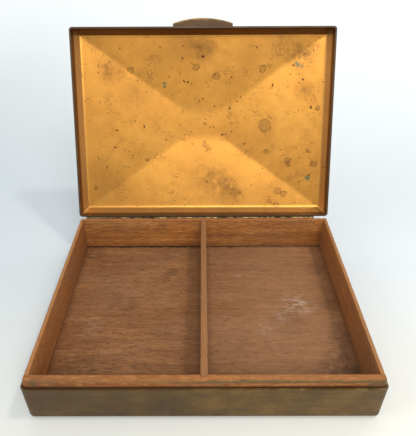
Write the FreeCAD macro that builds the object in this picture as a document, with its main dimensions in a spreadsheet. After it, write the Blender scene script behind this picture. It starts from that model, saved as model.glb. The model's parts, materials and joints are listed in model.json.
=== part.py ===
import FreeCAD, Part
import math
import os
import re
import Sketcher
from FreeCAD import Placement, Rotation, Vector

# A desk box for cigarettes: a bronze pan lined with thin boards of cedar, split into two
# compartments, and a pressed bronze lid on a piano hinge. It is drawn with the lid open.
#
# +X runs to the right of someone facing the box, +Y to the hinge, +Z up. The origin is the
# middle of the pan's underside. Millimetres and degrees.

doc = FreeCAD.newDocument("desk_box")
sheet = doc.addObject("Spreadsheet::Sheet", "Sizes")

DRIVING_SIZES = [
    ("box_width", 165.0),
    ("box_depth", 121.0),
    ("metal", 1.0),
    # the pan: straight sides, rounded upright corners and a rounded bottom edge
    ("pan_height", 22.4),
    ("pan_corner", 2.6),
    ("pan_bottom_round", 2.4),
    # the cedar liner stands proud of the pan's rim, as a lip for the lid to close over
    ("lip_height", 4.5),
    ("liner_gap", 0.3),
    ("liner_gap_back", 0.9),
    ("liner_corner", 1.4),
    ("lip_round", 0.9),
    ("floor_thick", 3.1),
    ("floor_corner", 2.0),
    ("floor_round", 1.8),
    ("front_thick", 3.5),
    ("back_thick", 2.1),
    ("side_thick", 2.2),
    ("divider_thick", 3.4),
    ("dado_depth", 0.8),
    ("dado_play", 0.05),
    # the lid: an upright skirt, a steep band, and a shallow hipped panel with a flat middle
    ("rim_gap", 0.1),
    ("hinge_gap", 0.05),
    ("lid_corner", 2.0),
    ("skirt_height", 4.5),
    ("band_run", 3.1),
    ("band_rise", 4.6),
    ("hip_rise", 5.5),
    ("panel_corner", 0.5),
    ("flat_width", 25.0),
    ("flat_depth", 18.0),
    # the thumb lift: a crescent tab on the lid's front edge
    ("lift_width", 36.8),
    ("lift_reach", 5.0),
    ("lift_end", 1.9),
    ("lift_thick", 1.8),
    ("lift_set_back", 0.3),
    ("lift_round", 0.5),
    # the piano hinge, whose leaves lie on the outside of the pan and of the lid's skirt
    ("leaf_thick", 0.6),
    ("leaf_height", 7.0),
    ("leaf_clear", 0.12),
    ("neck_lap", 0.5),
    ("leaf_top_gap", 0.1),
    ("barrel_radius", 1.3),
    ("bore_radius", 0.75),
    ("pin_radius", 0.71),
    ("pin_round", 0.25),
    ("axis_behind", 1.4),
    ("axis_above", 1.95),
    ("knuckle_pitch", 4.0),
    ("knuckle_pairs", 19),
    ("knuckle_play", 0.16),
    ("hinge_shift", -2.4),
    ("open_angle", 111.5),
]

WORKED_OUT_SIZES = [
    ("pan_inner_corner", "=pan_corner - metal"),
    ("pan_inner_round", "=pan_bottom_round - metal"),
    ("liner_width", "=box_width - 2 * (metal + liner_gap)"),
    ("liner_front_y", "=-box_depth / 2 + metal + liner_gap"),
    ("liner_back_y", "=box_depth / 2 - metal - liner_gap_back"),
    ("liner_depth", "=liner_back_y - liner_front_y"),
    ("liner_mid_y", "=(liner_back_y + liner_front_y) / 2"),
    ("floor_top", "=metal + floor_thick"),
    ("lip_top", "=pan_height + lip_height"),
    ("board_height", "=lip_top - floor_top"),
    ("side_length", "=liner_depth - front_thick - back_thick"),
    ("side_mid_y", "=liner_mid_y + (front_thick - back_thick) / 2"),
    ("dado_width", "=divider_thick + 2 * dado_play"),
    ("divider_length", "=side_length + 2 * (dado_depth - dado_play)"),
    # the lid's bends inside the sheet, counted from its rim and from its outer edge
    ("lid_depth", "=box_depth - hinge_gap"),
    ("lid_mid_y", "=-hinge_gap / 2"),
    ("lid_z", "=pan_height + rim_gap"),
    ("skirt_z", "=lid_z + skirt_height"),
    ("panel_z", "=skirt_z + band_rise"),
    ("flat_z", "=panel_z + hip_rise"),
    ("panel_inset", "=metal + band_run"),
    # how far the outside of the sheet stands off the inside at each bend
    ("band_angle", "=atan(band_rise / band_run)"),
    ("hip_angle", "=atan(hip_rise / ((lid_depth - flat_depth) / 2 - panel_inset))"),
    ("skirt_bend", "=metal * tan((90 deg - band_angle) / 2)"),
    ("panel_bend", "=1 + cos(band_angle - hip_angle)"),
    ("panel_bend_run", "=metal * (sin(band_angle) + sin(hip_angle)) / panel_bend"),
    ("panel_bend_rise", "=metal * (cos(band_angle) + cos(hip_angle)) / panel_bend"),
    ("flat_bend_run", "=metal * tan(hip_angle / 2)"),
    ("lift_z", "=lid_z + lift_set_back"),
    ("lift_rise", "=lift_reach - lift_end"),
    ("lift_arc", "=lift_width ^ 2 / (8 * lift_rise) + lift_rise / 2"),
    ("hinge_length", "=2 * knuckle_pairs * knuckle_pitch"),
    ("hinge_left_x", "=hinge_shift - hinge_length / 2"),
    ("axis_y", "=box_depth / 2 + axis_behind"),
    ("axis_z", "=pan_height + axis_above"),
    ("knuckle_length", "=knuckle_pitch - knuckle_play"),
    ("knuckle_span", "=2 * knuckle_pitch * (knuckle_pairs - 1)"),
    ("base_leaf_y", "=box_depth / 2"),
    ("base_leaf_top", "=axis_z - barrel_radius - leaf_clear"),
    ("lid_leaf_y", "=box_depth / 2 - hinge_gap"),
    ("lid_leaf_bottom", "=axis_z + barrel_radius + leaf_clear"),
    ("lid_leaf_top", "=skirt_z - leaf_top_gap"),
]

for row, (alias, value) in enumerate(DRIVING_SIZES + WORKED_OUT_SIZES, start=1):
    sheet.set("A%d" % row, alias)
    sheet.set("B%d" % row, str(value))
    sheet.setAlias("B%d" % row, alias)
doc.recompute()


def value_of(formula):
    """What a formula in the sheet's words comes to."""
    value = sheet.evalExpression(formula)
    return float(getattr(value, "Value", value))


def bind(item, target, formula):
    """Ties a property to a formula whose words are the sheet's aliases."""
    item.setExpression(target, re.sub(r"([a-z]\w+)", r"Sizes.\1", formula))


sub_parts = []


def new_body(name):
    """An empty body whose label names its node."""
    body = doc.addObject("PartDesign::Body", name)
    body.Label = name
    sub_parts.append(body)
    return body


START, END, CENTRE = 1, 2, 3
ORIGIN_POINT = (-1, START)


def origin_item(body, role):
    return [item for item in body.Origin.OriginFeatures if item.Role == role][0]


def new_sketch(body, name, plane, offset):
    """A sketch on one of the body's own origin planes, moved along its normal by offset."""
    sketch = body.newObject("Sketcher::SketchObject", body.Name + "_" + name)
    sketch.AttachmentSupport = (origin_item(body, plane), [""])
    sketch.MapMode = "FlatFace"
    bind(sketch, ".AttachmentOffset.Base.z", offset)
    return sketch


def tie(sketch, kind, *geometry):
    sketch.addConstraint(Sketcher.Constraint(kind, *geometry))


def hold(sketch, kind, geometry, formula):
    """A driving distance or radius, bound to the sheet."""
    index = sketch.addConstraint(Sketcher.Constraint(kind, *geometry, value_of(formula)))
    bind(sketch, "Constraints[%d]" % index, formula)


def rectangle(body, name, plane, offset, box, corner=None):
    """A rectangle held by its left, right, low and high sides, with rounded corners if asked."""
    sketch = new_sketch(body, name, plane, offset)
    left, right, low, high = (value_of(side) for side in box)
    cut = value_of(corner) if corner else 0.0
    lines = [
        (Vector(left + cut, low, 0), Vector(right - cut, low, 0)),
        (Vector(right, low + cut, 0), Vector(right, high - cut, 0)),
        (Vector(right - cut, high, 0), Vector(left + cut, high, 0)),
        (Vector(left, high - cut, 0), Vector(left, low + cut, 0)),
    ]
    for start, end in lines:
        sketch.addGeometry(Part.LineSegment(start, end))
    if corner:
        middles = [
            (right - cut, low + cut),
            (right - cut, high - cut),
            (left + cut, high - cut),
            (left + cut, low + cut),
        ]
        for turn, (x, y) in enumerate(middles):
            circle = Part.Circle(Vector(x, y, 0), Vector(0, 0, 1), cut)
            first = math.radians(90 * (turn - 1))
            sketch.addGeometry(Part.ArcOfCircle(circle, first, first + math.pi / 2))
        for turn in range(4):
            arc = 4 + turn
            tie(sketch, "Tangent", turn, END, arc, START)
            tie(sketch, "Tangent", arc, END, (turn + 1) % 4, START)
        for arc in (5, 6, 7):
            tie(sketch, "Equal", 4, arc)
        hold(sketch, "Radius", (4,), corner)
    else:
        for turn in range(4):
            tie(sketch, "Coincident", turn, END, (turn + 1) % 4, START)
    for side in (0, 2):
        tie(sketch, "Horizontal", side)
    for side in (1, 3):
        tie(sketch, "Vertical", side)
    hold(sketch, "DistanceX", (*ORIGIN_POINT, 3, START), box[0])
    hold(sketch, "DistanceX", (*ORIGIN_POINT, 1, START), box[1])
    hold(sketch, "DistanceY", (*ORIGIN_POINT, 0, START), box[2])
    hold(sketch, "DistanceY", (*ORIGIN_POINT, 2, START), box[3])
    return sketch


def disc(body, name, offset, radius):
    """A circle about the hinge axis, on a plane across the hinge."""
    sketch = new_sketch(body, name, "YZ_Plane", offset)
    middle = Vector(value_of("axis_y"), value_of("axis_z"), 0)
    sketch.addGeometry(Part.Circle(middle, Vector(0, 0, 1), value_of(radius)))
    hold(sketch, "DistanceX", (*ORIGIN_POINT, 0, CENTRE), "axis_y")
    hold(sketch, "DistanceY", (*ORIGIN_POINT, 0, CENTRE), "axis_z")
    hold(sketch, "Radius", (0,), radius)
    return sketch


def extrude(kind, sketch, length):
    """A Pad along the sketch's normal, or a Pocket against it."""
    body = sketch.getParentGeoFeatureGroup()
    before = body.Shape.Volume if body.Tip else 0.0
    feature = body.newObject("PartDesign::" + kind, sketch.Name + "_" + kind.lower())
    feature.Profile = sketch
    bind(feature, "Length", length)
    doc.recompute()
    grew = body.Shape.Volume - before
    if grew * (1 if kind == "Pad" else -1) <= 0:
        raise SystemExit("%s changed nothing" % feature.Name)
    return feature


def round_edges(body, name, radius, wanted):
    """A Fillet on the edges of the body for which wanted(edge) is true."""
    base = body.Tip
    edges = ["Edge%d" % n for n, edge in enumerate(base.Shape.Edges, 1) if wanted(edge)]
    if not edges:
        raise SystemExit("%s %s found no edges" % (body.Name, name))
    feature = body.newObject("PartDesign::Fillet", body.Name + "_" + name)
    feature.Base = (base, edges)
    bind(feature, "Radius", radius)
    doc.recompute()
    return feature


TOUCH = 1e-3


def lies_at_height(edge, alias):
    box = edge.BoundBox
    height = value_of(alias)
    return abs(box.ZMin - height) < TOUCH and abs(box.ZMax - height) < TOUCH


FULL_PLAN = ["-box_width / 2", "box_width / 2", "-box_depth / 2", "box_depth / 2"]


def make_pan():
    """Sheet bronze drawn into a tray, with rounded corners and a rounded bottom edge."""
    body = new_body("bronze_pan")
    outline = rectangle(body, "outline", "XY_Plane", "0", FULL_PLAN, "pan_corner")
    extrude("Pad", outline, "pan_height")
    inside = [side + (" - metal" if n % 2 else " + metal") for n, side in enumerate(FULL_PLAN)]
    hollow = rectangle(body, "hollow", "XY_Plane", "pan_height", inside, "pan_inner_corner")
    extrude("Pocket", hollow, "pan_height - metal")
    round_edges(body, "bottom", "pan_bottom_round", lambda e: lies_at_height(e, "0"))
    round_edges(body, "inside", "pan_inner_round", lambda e: lies_at_height(e, "metal"))


def make_floor():
    """The thin board that lies on the pan's floor, under the four walls of the liner."""
    body = new_body("liner_floor_board")
    plan = ["-liner_width / 2", "liner_width / 2", "liner_front_y", "liner_back_y"]
    outline = rectangle(body, "outline", "XY_Plane", "metal", plan, "floor_corner")
    extrude("Pad", outline, "floor_thick")
    round_edges(body, "underside", "floor_round", lambda e: lies_at_height(e, "metal"))


def make_end_board(name, low, high, outer, dado_low, dado_high):
    """The front or back wall of the liner: full width, with a stopped dado for the divider."""
    body = new_body(name)
    plan = ["-liner_width / 2", "liner_width / 2", low, high]
    outline = rectangle(body, "outline", "XY_Plane", "floor_top", plan)
    extrude("Pad", outline, "board_height")
    dado_plan = ["-dado_width / 2", "dado_width / 2", dado_low, dado_high]
    dado = rectangle(body, "dado", "XY_Plane", "lip_top", dado_plan)
    extrude("Pocket", dado, "board_height")
    outer_y = value_of(outer)
    half_width = value_of("liner_width / 2")

    def is_outer_corner(edge):
        box = edge.BoundBox
        upright = box.XLength + box.YLength < TOUCH
        return upright and abs(box.YMin - outer_y) < TOUCH

    round_edges(body, "corners", "liner_corner", is_outer_corner)

    def is_lip(edge):
        box = edge.BoundBox
        along_front = box.YLength < TOUCH and abs(box.YMin - outer_y) < TOUCH
        at_end = box.XLength < TOUCH and abs(abs(box.XMin) - half_width) < TOUCH
        turned = isinstance(edge.Curve, Part.Circle)
        return lies_at_height(edge, "lip_top") and (along_front or at_end or turned)

    round_edges(body, "lip", "lip_round", is_lip)


def make_side_board(name, left, right, outer):
    """A side wall of the liner, fitted between the front and back boards."""
    body = new_body(name)
    plan = [left, right, "side_mid_y - side_length / 2", "side_mid_y + side_length / 2"]
    outline = rectangle(body, "outline", "XY_Plane", "floor_top", plan)
    extrude("Pad", outline, "board_height")
    outer_x = value_of(outer)

    def is_lip(edge):
        box = edge.BoundBox
        outside = box.XLength < TOUCH and abs(box.XMin - outer_x) < TOUCH
        return outside and lies_at_height(edge, "lip_top")

    round_edges(body, "lip", "lip_round", is_lip)


def make_divider():
    """The board from front to back that parts the two compartments, let into the dadoes."""
    body = new_body("divider_board")
    half = "divider_length / 2"
    plan = ["-divider_thick / 2", "divider_thick / 2", "side_mid_y - " + half, "side_mid_y + " + half]
    outline = rectangle(body, "outline", "XY_Plane", "floor_top", plan)
    extrude("Pad", outline, "board_height")


def lid_plan(inset):
    """The lid's plan at one level, set in from its outer edge."""
    return [
        "-box_width / 2 + " + inset,
        "box_width / 2 - " + inset,
        "lid_mid_y - lid_depth / 2 + " + inset,
        "lid_mid_y + lid_depth / 2 - " + inset,
    ]


def flat_plan(spread):
    """The flat middle of the panel, where the four facets die out."""
    return [
        "-flat_width / 2 - " + spread,
        "flat_width / 2 + " + spread,
        "lid_mid_y - flat_depth / 2 - " + spread,
        "lid_mid_y + flat_depth / 2 + " + spread,
    ]


def loft(body, kind, name, levels):
    """A ruled loft through rounded rectangles at rising levels."""
    sections = []
    for n, (height, plan, corner) in enumerate(levels):
        sections.append(rectangle(body, name + str(n), "XY_Plane", height, plan, corner))
    feature = body.newObject("PartDesign::" + kind, body.Name + "_" + name)
    feature.Profile = sections[0]
    feature.Sections = sections[1:]
    feature.Ruled = True
    doc.recompute()


def make_lid():
    """One pressed sheet: skirt, mitred band, four shallow facets and a flat middle."""
    body = new_body("lid_shell")
    panel_edge = "(panel_inset - panel_bend_run)"
    outside = [
        ("lid_z", lid_plan("0"), "lid_corner"),
        ("skirt_z + skirt_bend", lid_plan("0"), "lid_corner"),
        ("panel_z + panel_bend_rise", lid_plan(panel_edge), "panel_corner"),
        ("flat_z + metal", flat_plan("flat_bend_run"), "panel_corner"),
    ]
    inside = [
        ("lid_z", lid_plan("metal"), "lid_corner - metal"),
        ("skirt_z", lid_plan("metal"), "lid_corner - metal"),
        ("panel_z", lid_plan("panel_inset"), "panel_corner"),
        ("flat_z", flat_plan("0"), "panel_corner"),
    ]
    loft(body, "AdditiveLoft", "outside", outside)
    loft(body, "SubtractiveLoft", "inside", inside)
    return body


def make_lift():
    """A crescent tab soldered to the front of the lid's skirt, for a thumb to push up."""
    body = new_body("thumb_lift")
    sketch = new_sketch(body, "outline", "XY_Plane", "lift_z")
    root = value_of("-box_depth / 2")
    half = value_of("lift_width / 2")
    end = root - value_of("lift_end")
    tip = root - value_of("lift_reach")
    sketch.addGeometry(Part.LineSegment(Vector(half, root, 0), Vector(-half, root, 0)))
    sketch.addGeometry(Part.LineSegment(Vector(-half, root, 0), Vector(-half, end, 0)))
    sketch.addGeometry(Part.Arc(Vector(-half, end, 0), Vector(0, tip, 0), Vector(half, end, 0)))
    sketch.addGeometry(Part.LineSegment(Vector(half, end, 0), Vector(half, root, 0)))
    tie(sketch, "Coincident", 0, END, 1, START)
    tie(sketch, "Coincident", 1, END, 2, START)
    tie(sketch, "Coincident", 2, END, 3, START)
    tie(sketch, "Coincident", 3, END, 0, START)
    tie(sketch, "Vertical", 1)
    tie(sketch, "Vertical", 3)
    hold(sketch, "DistanceY", (*ORIGIN_POINT, 0, START), "-box_depth / 2")
    hold(sketch, "DistanceX", (*ORIGIN_POINT, 0, START), "lift_width / 2")
    hold(sketch, "DistanceX", (*ORIGIN_POINT, 1, START), "-lift_width / 2")
    hold(sketch, "DistanceY", (*ORIGIN_POINT, 1, START), "-box_depth / 2")
    hold(sketch, "DistanceY", (2, START, *ORIGIN_POINT), "box_depth / 2 + lift_end")
    hold(sketch, "DistanceY", (2, END, *ORIGIN_POINT), "box_depth / 2 + lift_end")
    hold(sketch, "Radius", (2,), "lift_arc")
    extrude("Pad", sketch, "lift_thick")
    round_edges(body, "rounding", "lift_round", lambda e: e.BoundBox.YMin < root - TOUCH)
    return body


def make_leaf(name, plate, neck, first_knuckle):
    """Half of the piano hinge: a plate, and every other knuckle along it on a short neck."""
    body = new_body(name)
    plate_sketch = rectangle(body, "plate", "YZ_Plane", "hinge_left_x", plate)
    extrude("Pad", plate_sketch, "hinge_length")
    neck_sketch = rectangle(body, "neck", "YZ_Plane", first_knuckle, neck)
    neck_pad = extrude("Pad", neck_sketch, "knuckle_length")
    knuckle_pad = extrude("Pad", disc(body, "knuckle", first_knuckle, "barrel_radius"), "knuckle_length")
    row = body.newObject("PartDesign::LinearPattern", name + "_row")
    row.Originals = [neck_pad, knuckle_pad]
    row.Direction = (origin_item(body, "X_Axis"), [""])
    bind(row, "Length", "knuckle_span")
    bind(row, "Occurrences", "knuckle_pairs")
    body.Tip = row
    doc.recompute()
    bore = disc(body, "bore", "hinge_left_x + hinge_length", "bore_radius")
    extrude("Pocket", bore, "hinge_length")
    return body


def make_pin():
    """The wire pin that runs the whole length of the hinge."""
    body = new_body("hinge_pin")
    extrude("Pad", disc(body, "wire", "hinge_left_x", "pin_radius"), "hinge_length")
    round_edges(body, "ends", "pin_round", lambda e: e.BoundBox.XLength < TOUCH)


make_pan()
make_floor()
front_inner = "liner_front_y + front_thick"
back_inner = "liner_back_y - back_thick"
make_end_board(
    "liner_front_board", "liner_front_y", front_inner, "liner_front_y",
    front_inner + " - dado_depth", front_inner,
)
make_end_board(
    "liner_back_board", back_inner, "liner_back_y", "liner_back_y",
    back_inner, back_inner + " + dado_depth",
)
make_side_board(
    "liner_left_board", "-liner_width / 2", "-liner_width / 2 + side_thick", "-liner_width / 2"
)
make_side_board(
    "liner_right_board", "liner_width / 2 - side_thick", "liner_width / 2", "liner_width / 2"
)
make_divider()
base_plate = [
    "base_leaf_y", "base_leaf_y + leaf_thick", "base_leaf_top - leaf_height", "base_leaf_top"
]
base_neck = ["base_leaf_y", "base_leaf_y + leaf_thick", "base_leaf_top - neck_lap", "axis_z"]
make_leaf("hinge_leaf_base", base_plate, base_neck, "hinge_left_x + knuckle_play / 2")
make_pin()

lid_plate = ["lid_leaf_y", "lid_leaf_y + leaf_thick", "lid_leaf_bottom", "lid_leaf_top"]
lid_neck = ["lid_leaf_y", "lid_leaf_y + leaf_thick", "axis_z", "lid_leaf_bottom + neck_lap"]
lid_first = "hinge_left_x + knuckle_pitch + knuckle_play / 2"
lid_bodies = [make_lid(), make_lift(), make_leaf("hinge_leaf_lid", lid_plate, lid_neck, lid_first)]

# The lid is drawn shut and then swung back about the hinge axis to its open stop.
axis_point = Vector(0, value_of("axis_y"), value_of("axis_z"))
swing = Rotation(Vector(1, 0, 0), -value_of("open_angle"))
for body in lid_bodies:
    body.Placement = Placement(Vector(0, 0, 0), swing, axis_point)
doc.recompute()

for item in doc.Objects:
    if "Invalid" in item.State or "Error" in item.State:
        raise SystemExit("%s failed: %s" % (item.Name, item.State))
os.makedirs("parts", exist_ok=True)
for body in sub_parts:
    shape = body.Shape
    if shape.isNull() or not shape.isValid() or len(shape.Solids) != 1:
        raise SystemExit("%s is not one valid solid" % body.Label)
    shape.exportStep("parts/%s.step" % body.Label)
    print("%-20s %10.2f mm3" % (body.Label, shape.Volume))
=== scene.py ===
import json
import math

import bmesh
import bpy
from mathutils import Matrix, Vector, noise


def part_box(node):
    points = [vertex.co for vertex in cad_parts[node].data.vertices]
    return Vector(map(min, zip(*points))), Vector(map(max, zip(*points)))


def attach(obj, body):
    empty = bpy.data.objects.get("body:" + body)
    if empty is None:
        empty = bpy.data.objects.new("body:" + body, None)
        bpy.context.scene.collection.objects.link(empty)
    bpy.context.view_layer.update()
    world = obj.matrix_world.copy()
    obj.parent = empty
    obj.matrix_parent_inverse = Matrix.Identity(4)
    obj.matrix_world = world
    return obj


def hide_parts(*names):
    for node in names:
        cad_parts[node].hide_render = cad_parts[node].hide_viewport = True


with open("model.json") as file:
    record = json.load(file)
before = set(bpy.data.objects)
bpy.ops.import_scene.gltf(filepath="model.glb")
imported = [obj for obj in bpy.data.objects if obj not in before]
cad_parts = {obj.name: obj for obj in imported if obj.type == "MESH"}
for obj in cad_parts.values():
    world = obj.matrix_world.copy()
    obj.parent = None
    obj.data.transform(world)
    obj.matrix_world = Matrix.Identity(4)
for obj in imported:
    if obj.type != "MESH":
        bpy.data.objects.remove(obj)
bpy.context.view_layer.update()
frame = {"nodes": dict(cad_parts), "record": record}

# ---------------------------------------------------------------------------------------------
# The pan: one sheet of bronze drawn into a tray, about a millimetre thick. Decades of handling
# have turned it a dull brown-olive, a little redder where the patina is thin and darker along
# its bottom edge. The pale line along its rim is a painted highlight.
# ---------------------------------------------------------------------------------------------
MM = 0.001


def linear(hex_colour):
    """An sRGB hex value as the linear colour that a shader socket wants."""
    parts = [int(hex_colour[i : i + 2], 16) / 255 for i in (1, 3, 5)]
    return [c / 12.92 if c <= 0.04045 else ((c + 0.055) / 1.055) ** 2.4 for c in parts] + [1.0]


def add(tree, kind, inputs=None, into=None, stops=(), **settings):
    """Adds a node with its settings and its links. A name or a number picks an input, a node
    given as a value is linked from its first output, and a hex colour is made linear. Stops are
    for a colour ramp, and into is the socket that the node's own output goes to."""
    made = tree.nodes.new(kind)
    for name, value in settings.items():
        setattr(made, name, value)
    for key, value in (inputs or {}).items():
        if isinstance(key, int):
            socket = made.inputs[key]
        else:
            socket = next(s for s in made.inputs if s.enabled and key in (s.name, s.identifier))
        if isinstance(value, bpy.types.Node):
            value = next(s for s in value.outputs if s.enabled)
        if isinstance(value, bpy.types.NodeSocket):
            tree.links.new(value, socket)
        elif isinstance(value, str):
            socket.default_value = linear(value)
        else:
            socket.default_value = value
    for position, _ in stops[2:]:
        made.color_ramp.elements.new(position)
    for n, (position, hex_colour) in enumerate(stops):
        made.color_ramp.elements[n].position = position
        made.color_ramp.elements[n].color = linear(hex_colour)
    if into:
        tree.links.new(next(s for s in made.outputs if s.enabled), into)
    return made


def start_material(name):
    """An empty node material, with its surface shader and the piece's own coordinates."""
    material = bpy.data.materials.new(name)
    material.use_nodes = True
    tree = material.node_tree
    tree.nodes.clear()
    shader = add(tree, "ShaderNodeBsdfPrincipled")
    add(tree, "ShaderNodeOutputMaterial", {"Surface": shader})
    where = add(tree, "ShaderNodeTexCoord").outputs["Object"]
    return material, tree, shader, where


def dress(node, material):
    """Gives a carried-over CAD node its material."""
    mesh = frame["nodes"][node].data
    mesh.materials.clear()
    mesh.materials.append(material)


def patinated_bronze(name, thin_tone="#6B4A35"):
    """Sheet bronze under a brown handling patina. The oxide skin hides most of the metal, so it
    is only partly metallic, with soft clouds of olive and red-brown and a dull broken gloss."""
    material, tree, shader, where = start_material(name)
    cloud_size, blotch_size, streak_size, fleck_size = 26 * MM, 8 * MM, 2.2 * MM, 0.9 * MM
    cloud = add(tree, "ShaderNodeTexNoise",
                {"Vector": where, "Scale": 1 / cloud_size, "Detail": 4.0, "Roughness": 0.6})
    body = add(tree, "ShaderNodeValToRGB", {"Fac": cloud},
               stops=[(0.30, "#4D3A1B"), (0.48, "#634B23"), (0.62, "#74582A"), (0.78, "#856935")])
    blotch = add(tree, "ShaderNodeTexNoise",
                 {"Vector": where, "Scale": 1 / blotch_size, "Detail": 3.0, "Roughness": 0.65})
    thin = add(tree, "ShaderNodeMapRange",
               {"Value": blotch, "From Min": 0.52, "From Max": 0.68, "To Max": 0.6})
    # rubbing with a cloth leaves faint streaks along the sides, longer than they are tall
    drawn_out = add(tree, "ShaderNodeMapping", {"Vector": where, "Scale": (0.12, 0.12, 1.0)})
    streak = add(tree, "ShaderNodeTexNoise",
                 {"Vector": drawn_out, "Scale": 1 / streak_size, "Detail": 3.0})
    rub_and_highlight = add(tree, "ShaderNodeMapRange",
                 {"Value": streak, "From Min": 0.45, "From Max": 0.75, "To Max": 0.45})
    fleck = add(tree, "ShaderNodeTexNoise", {"Vector": where, "Scale": 1 / fleck_size, "Detail": 2.0})
    pitted = add(tree, "ShaderNodeMapRange",
                 {"Value": fleck, "From Min": 0.62, "From Max": 0.72, "To Max": 0.5})
    colour = body
    layers = [(thin, thin_tone), (rub_and_highlight, "#42331F"), (pitted, "#33281A")]
    for mask, tone in layers:
        colour = add(tree, "ShaderNodeMix", {"Factor": mask, "A": colour, "B": tone},
                     data_type="RGBA", into=shader.inputs["Base Color"])
    add(tree, "ShaderNodeMapRange",
        {"Value": blotch, "From Min": 0.3, "From Max": 0.7, "To Min": 0.38, "To Max": 0.58},
        into=shader.inputs["Roughness"])
    dents = add(tree, "ShaderNodeMath", {0: fleck, 1: blotch}, operation="ADD")
    add(tree, "ShaderNodeBump", {"Height": dents, "Strength": 0.35, "Distance": 0.15 * MM},
        into=shader.inputs["Normal"])
    shader.inputs["Metallic"].default_value = 0.65
    return material, tree, shader, where, colour


pan_bronze, tree, shader, where, colour = patinated_bronze("bronze_brown_patina")
pan_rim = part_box("bronze_pan")[1][2]
place = add(tree, "ShaderNodeSeparateXYZ", {"Vector": where})
# a pale, broken line along the rim, strongest to the right, is a painted highlight where the rim's edge
# catches the light
rim_noise = add(tree, "ShaderNodeTexNoise", {"Vector": where, "Scale": 1 / (5 * MM), "Detail": 3.0})
rim_line = add(tree, "ShaderNodeMapRange", {"Value": place.outputs["Z"], "From Min": pan_rim - 0.6 * MM,
                                            "From Max": pan_rim - 0.1 * MM})
broken = add(tree, "ShaderNodeMapRange", {"Value": rim_noise, "From Min": 0.46, "From Max": 0.62})
right_end = add(tree, "ShaderNodeMapRange", {"Value": place.outputs["X"], "From Min": -20 * MM,
                                             "From Max": 40 * MM, "To Min": 0.1, "To Max": 0.9})
pale_edge = add(tree, "ShaderNodeMath", {0: rim_line, 1: broken}, operation="MULTIPLY")
pale_edge = add(tree, "ShaderNodeMath", {0: pale_edge, 1: right_end}, operation="MULTIPLY")
# it turns a redder, darker brown towards its left end
left_end = add(tree, "ShaderNodeMapRange",
               {"Value": place.outputs["X"], "From Min": -5 * MM, "From Max": -75 * MM, "To Max": 0.45})
foot_line = add(tree, "ShaderNodeMapRange", {"Value": place.outputs["Z"], "From Min": 2.6 * MM,
                                             "From Max": 0.6 * MM, "To Max": 0.55})
layers = [(pale_edge, "#86704A"), (left_end, "#4E3824"), (foot_line, "#3A2B1D")]
for mask, tone in layers:
    colour = add(tree, "ShaderNodeMix", {"Factor": mask, "A": colour, "B": tone},
                 data_type="RGBA", into=shader.inputs["Base Color"])
dress("bronze_pan", pan_bronze)

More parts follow.
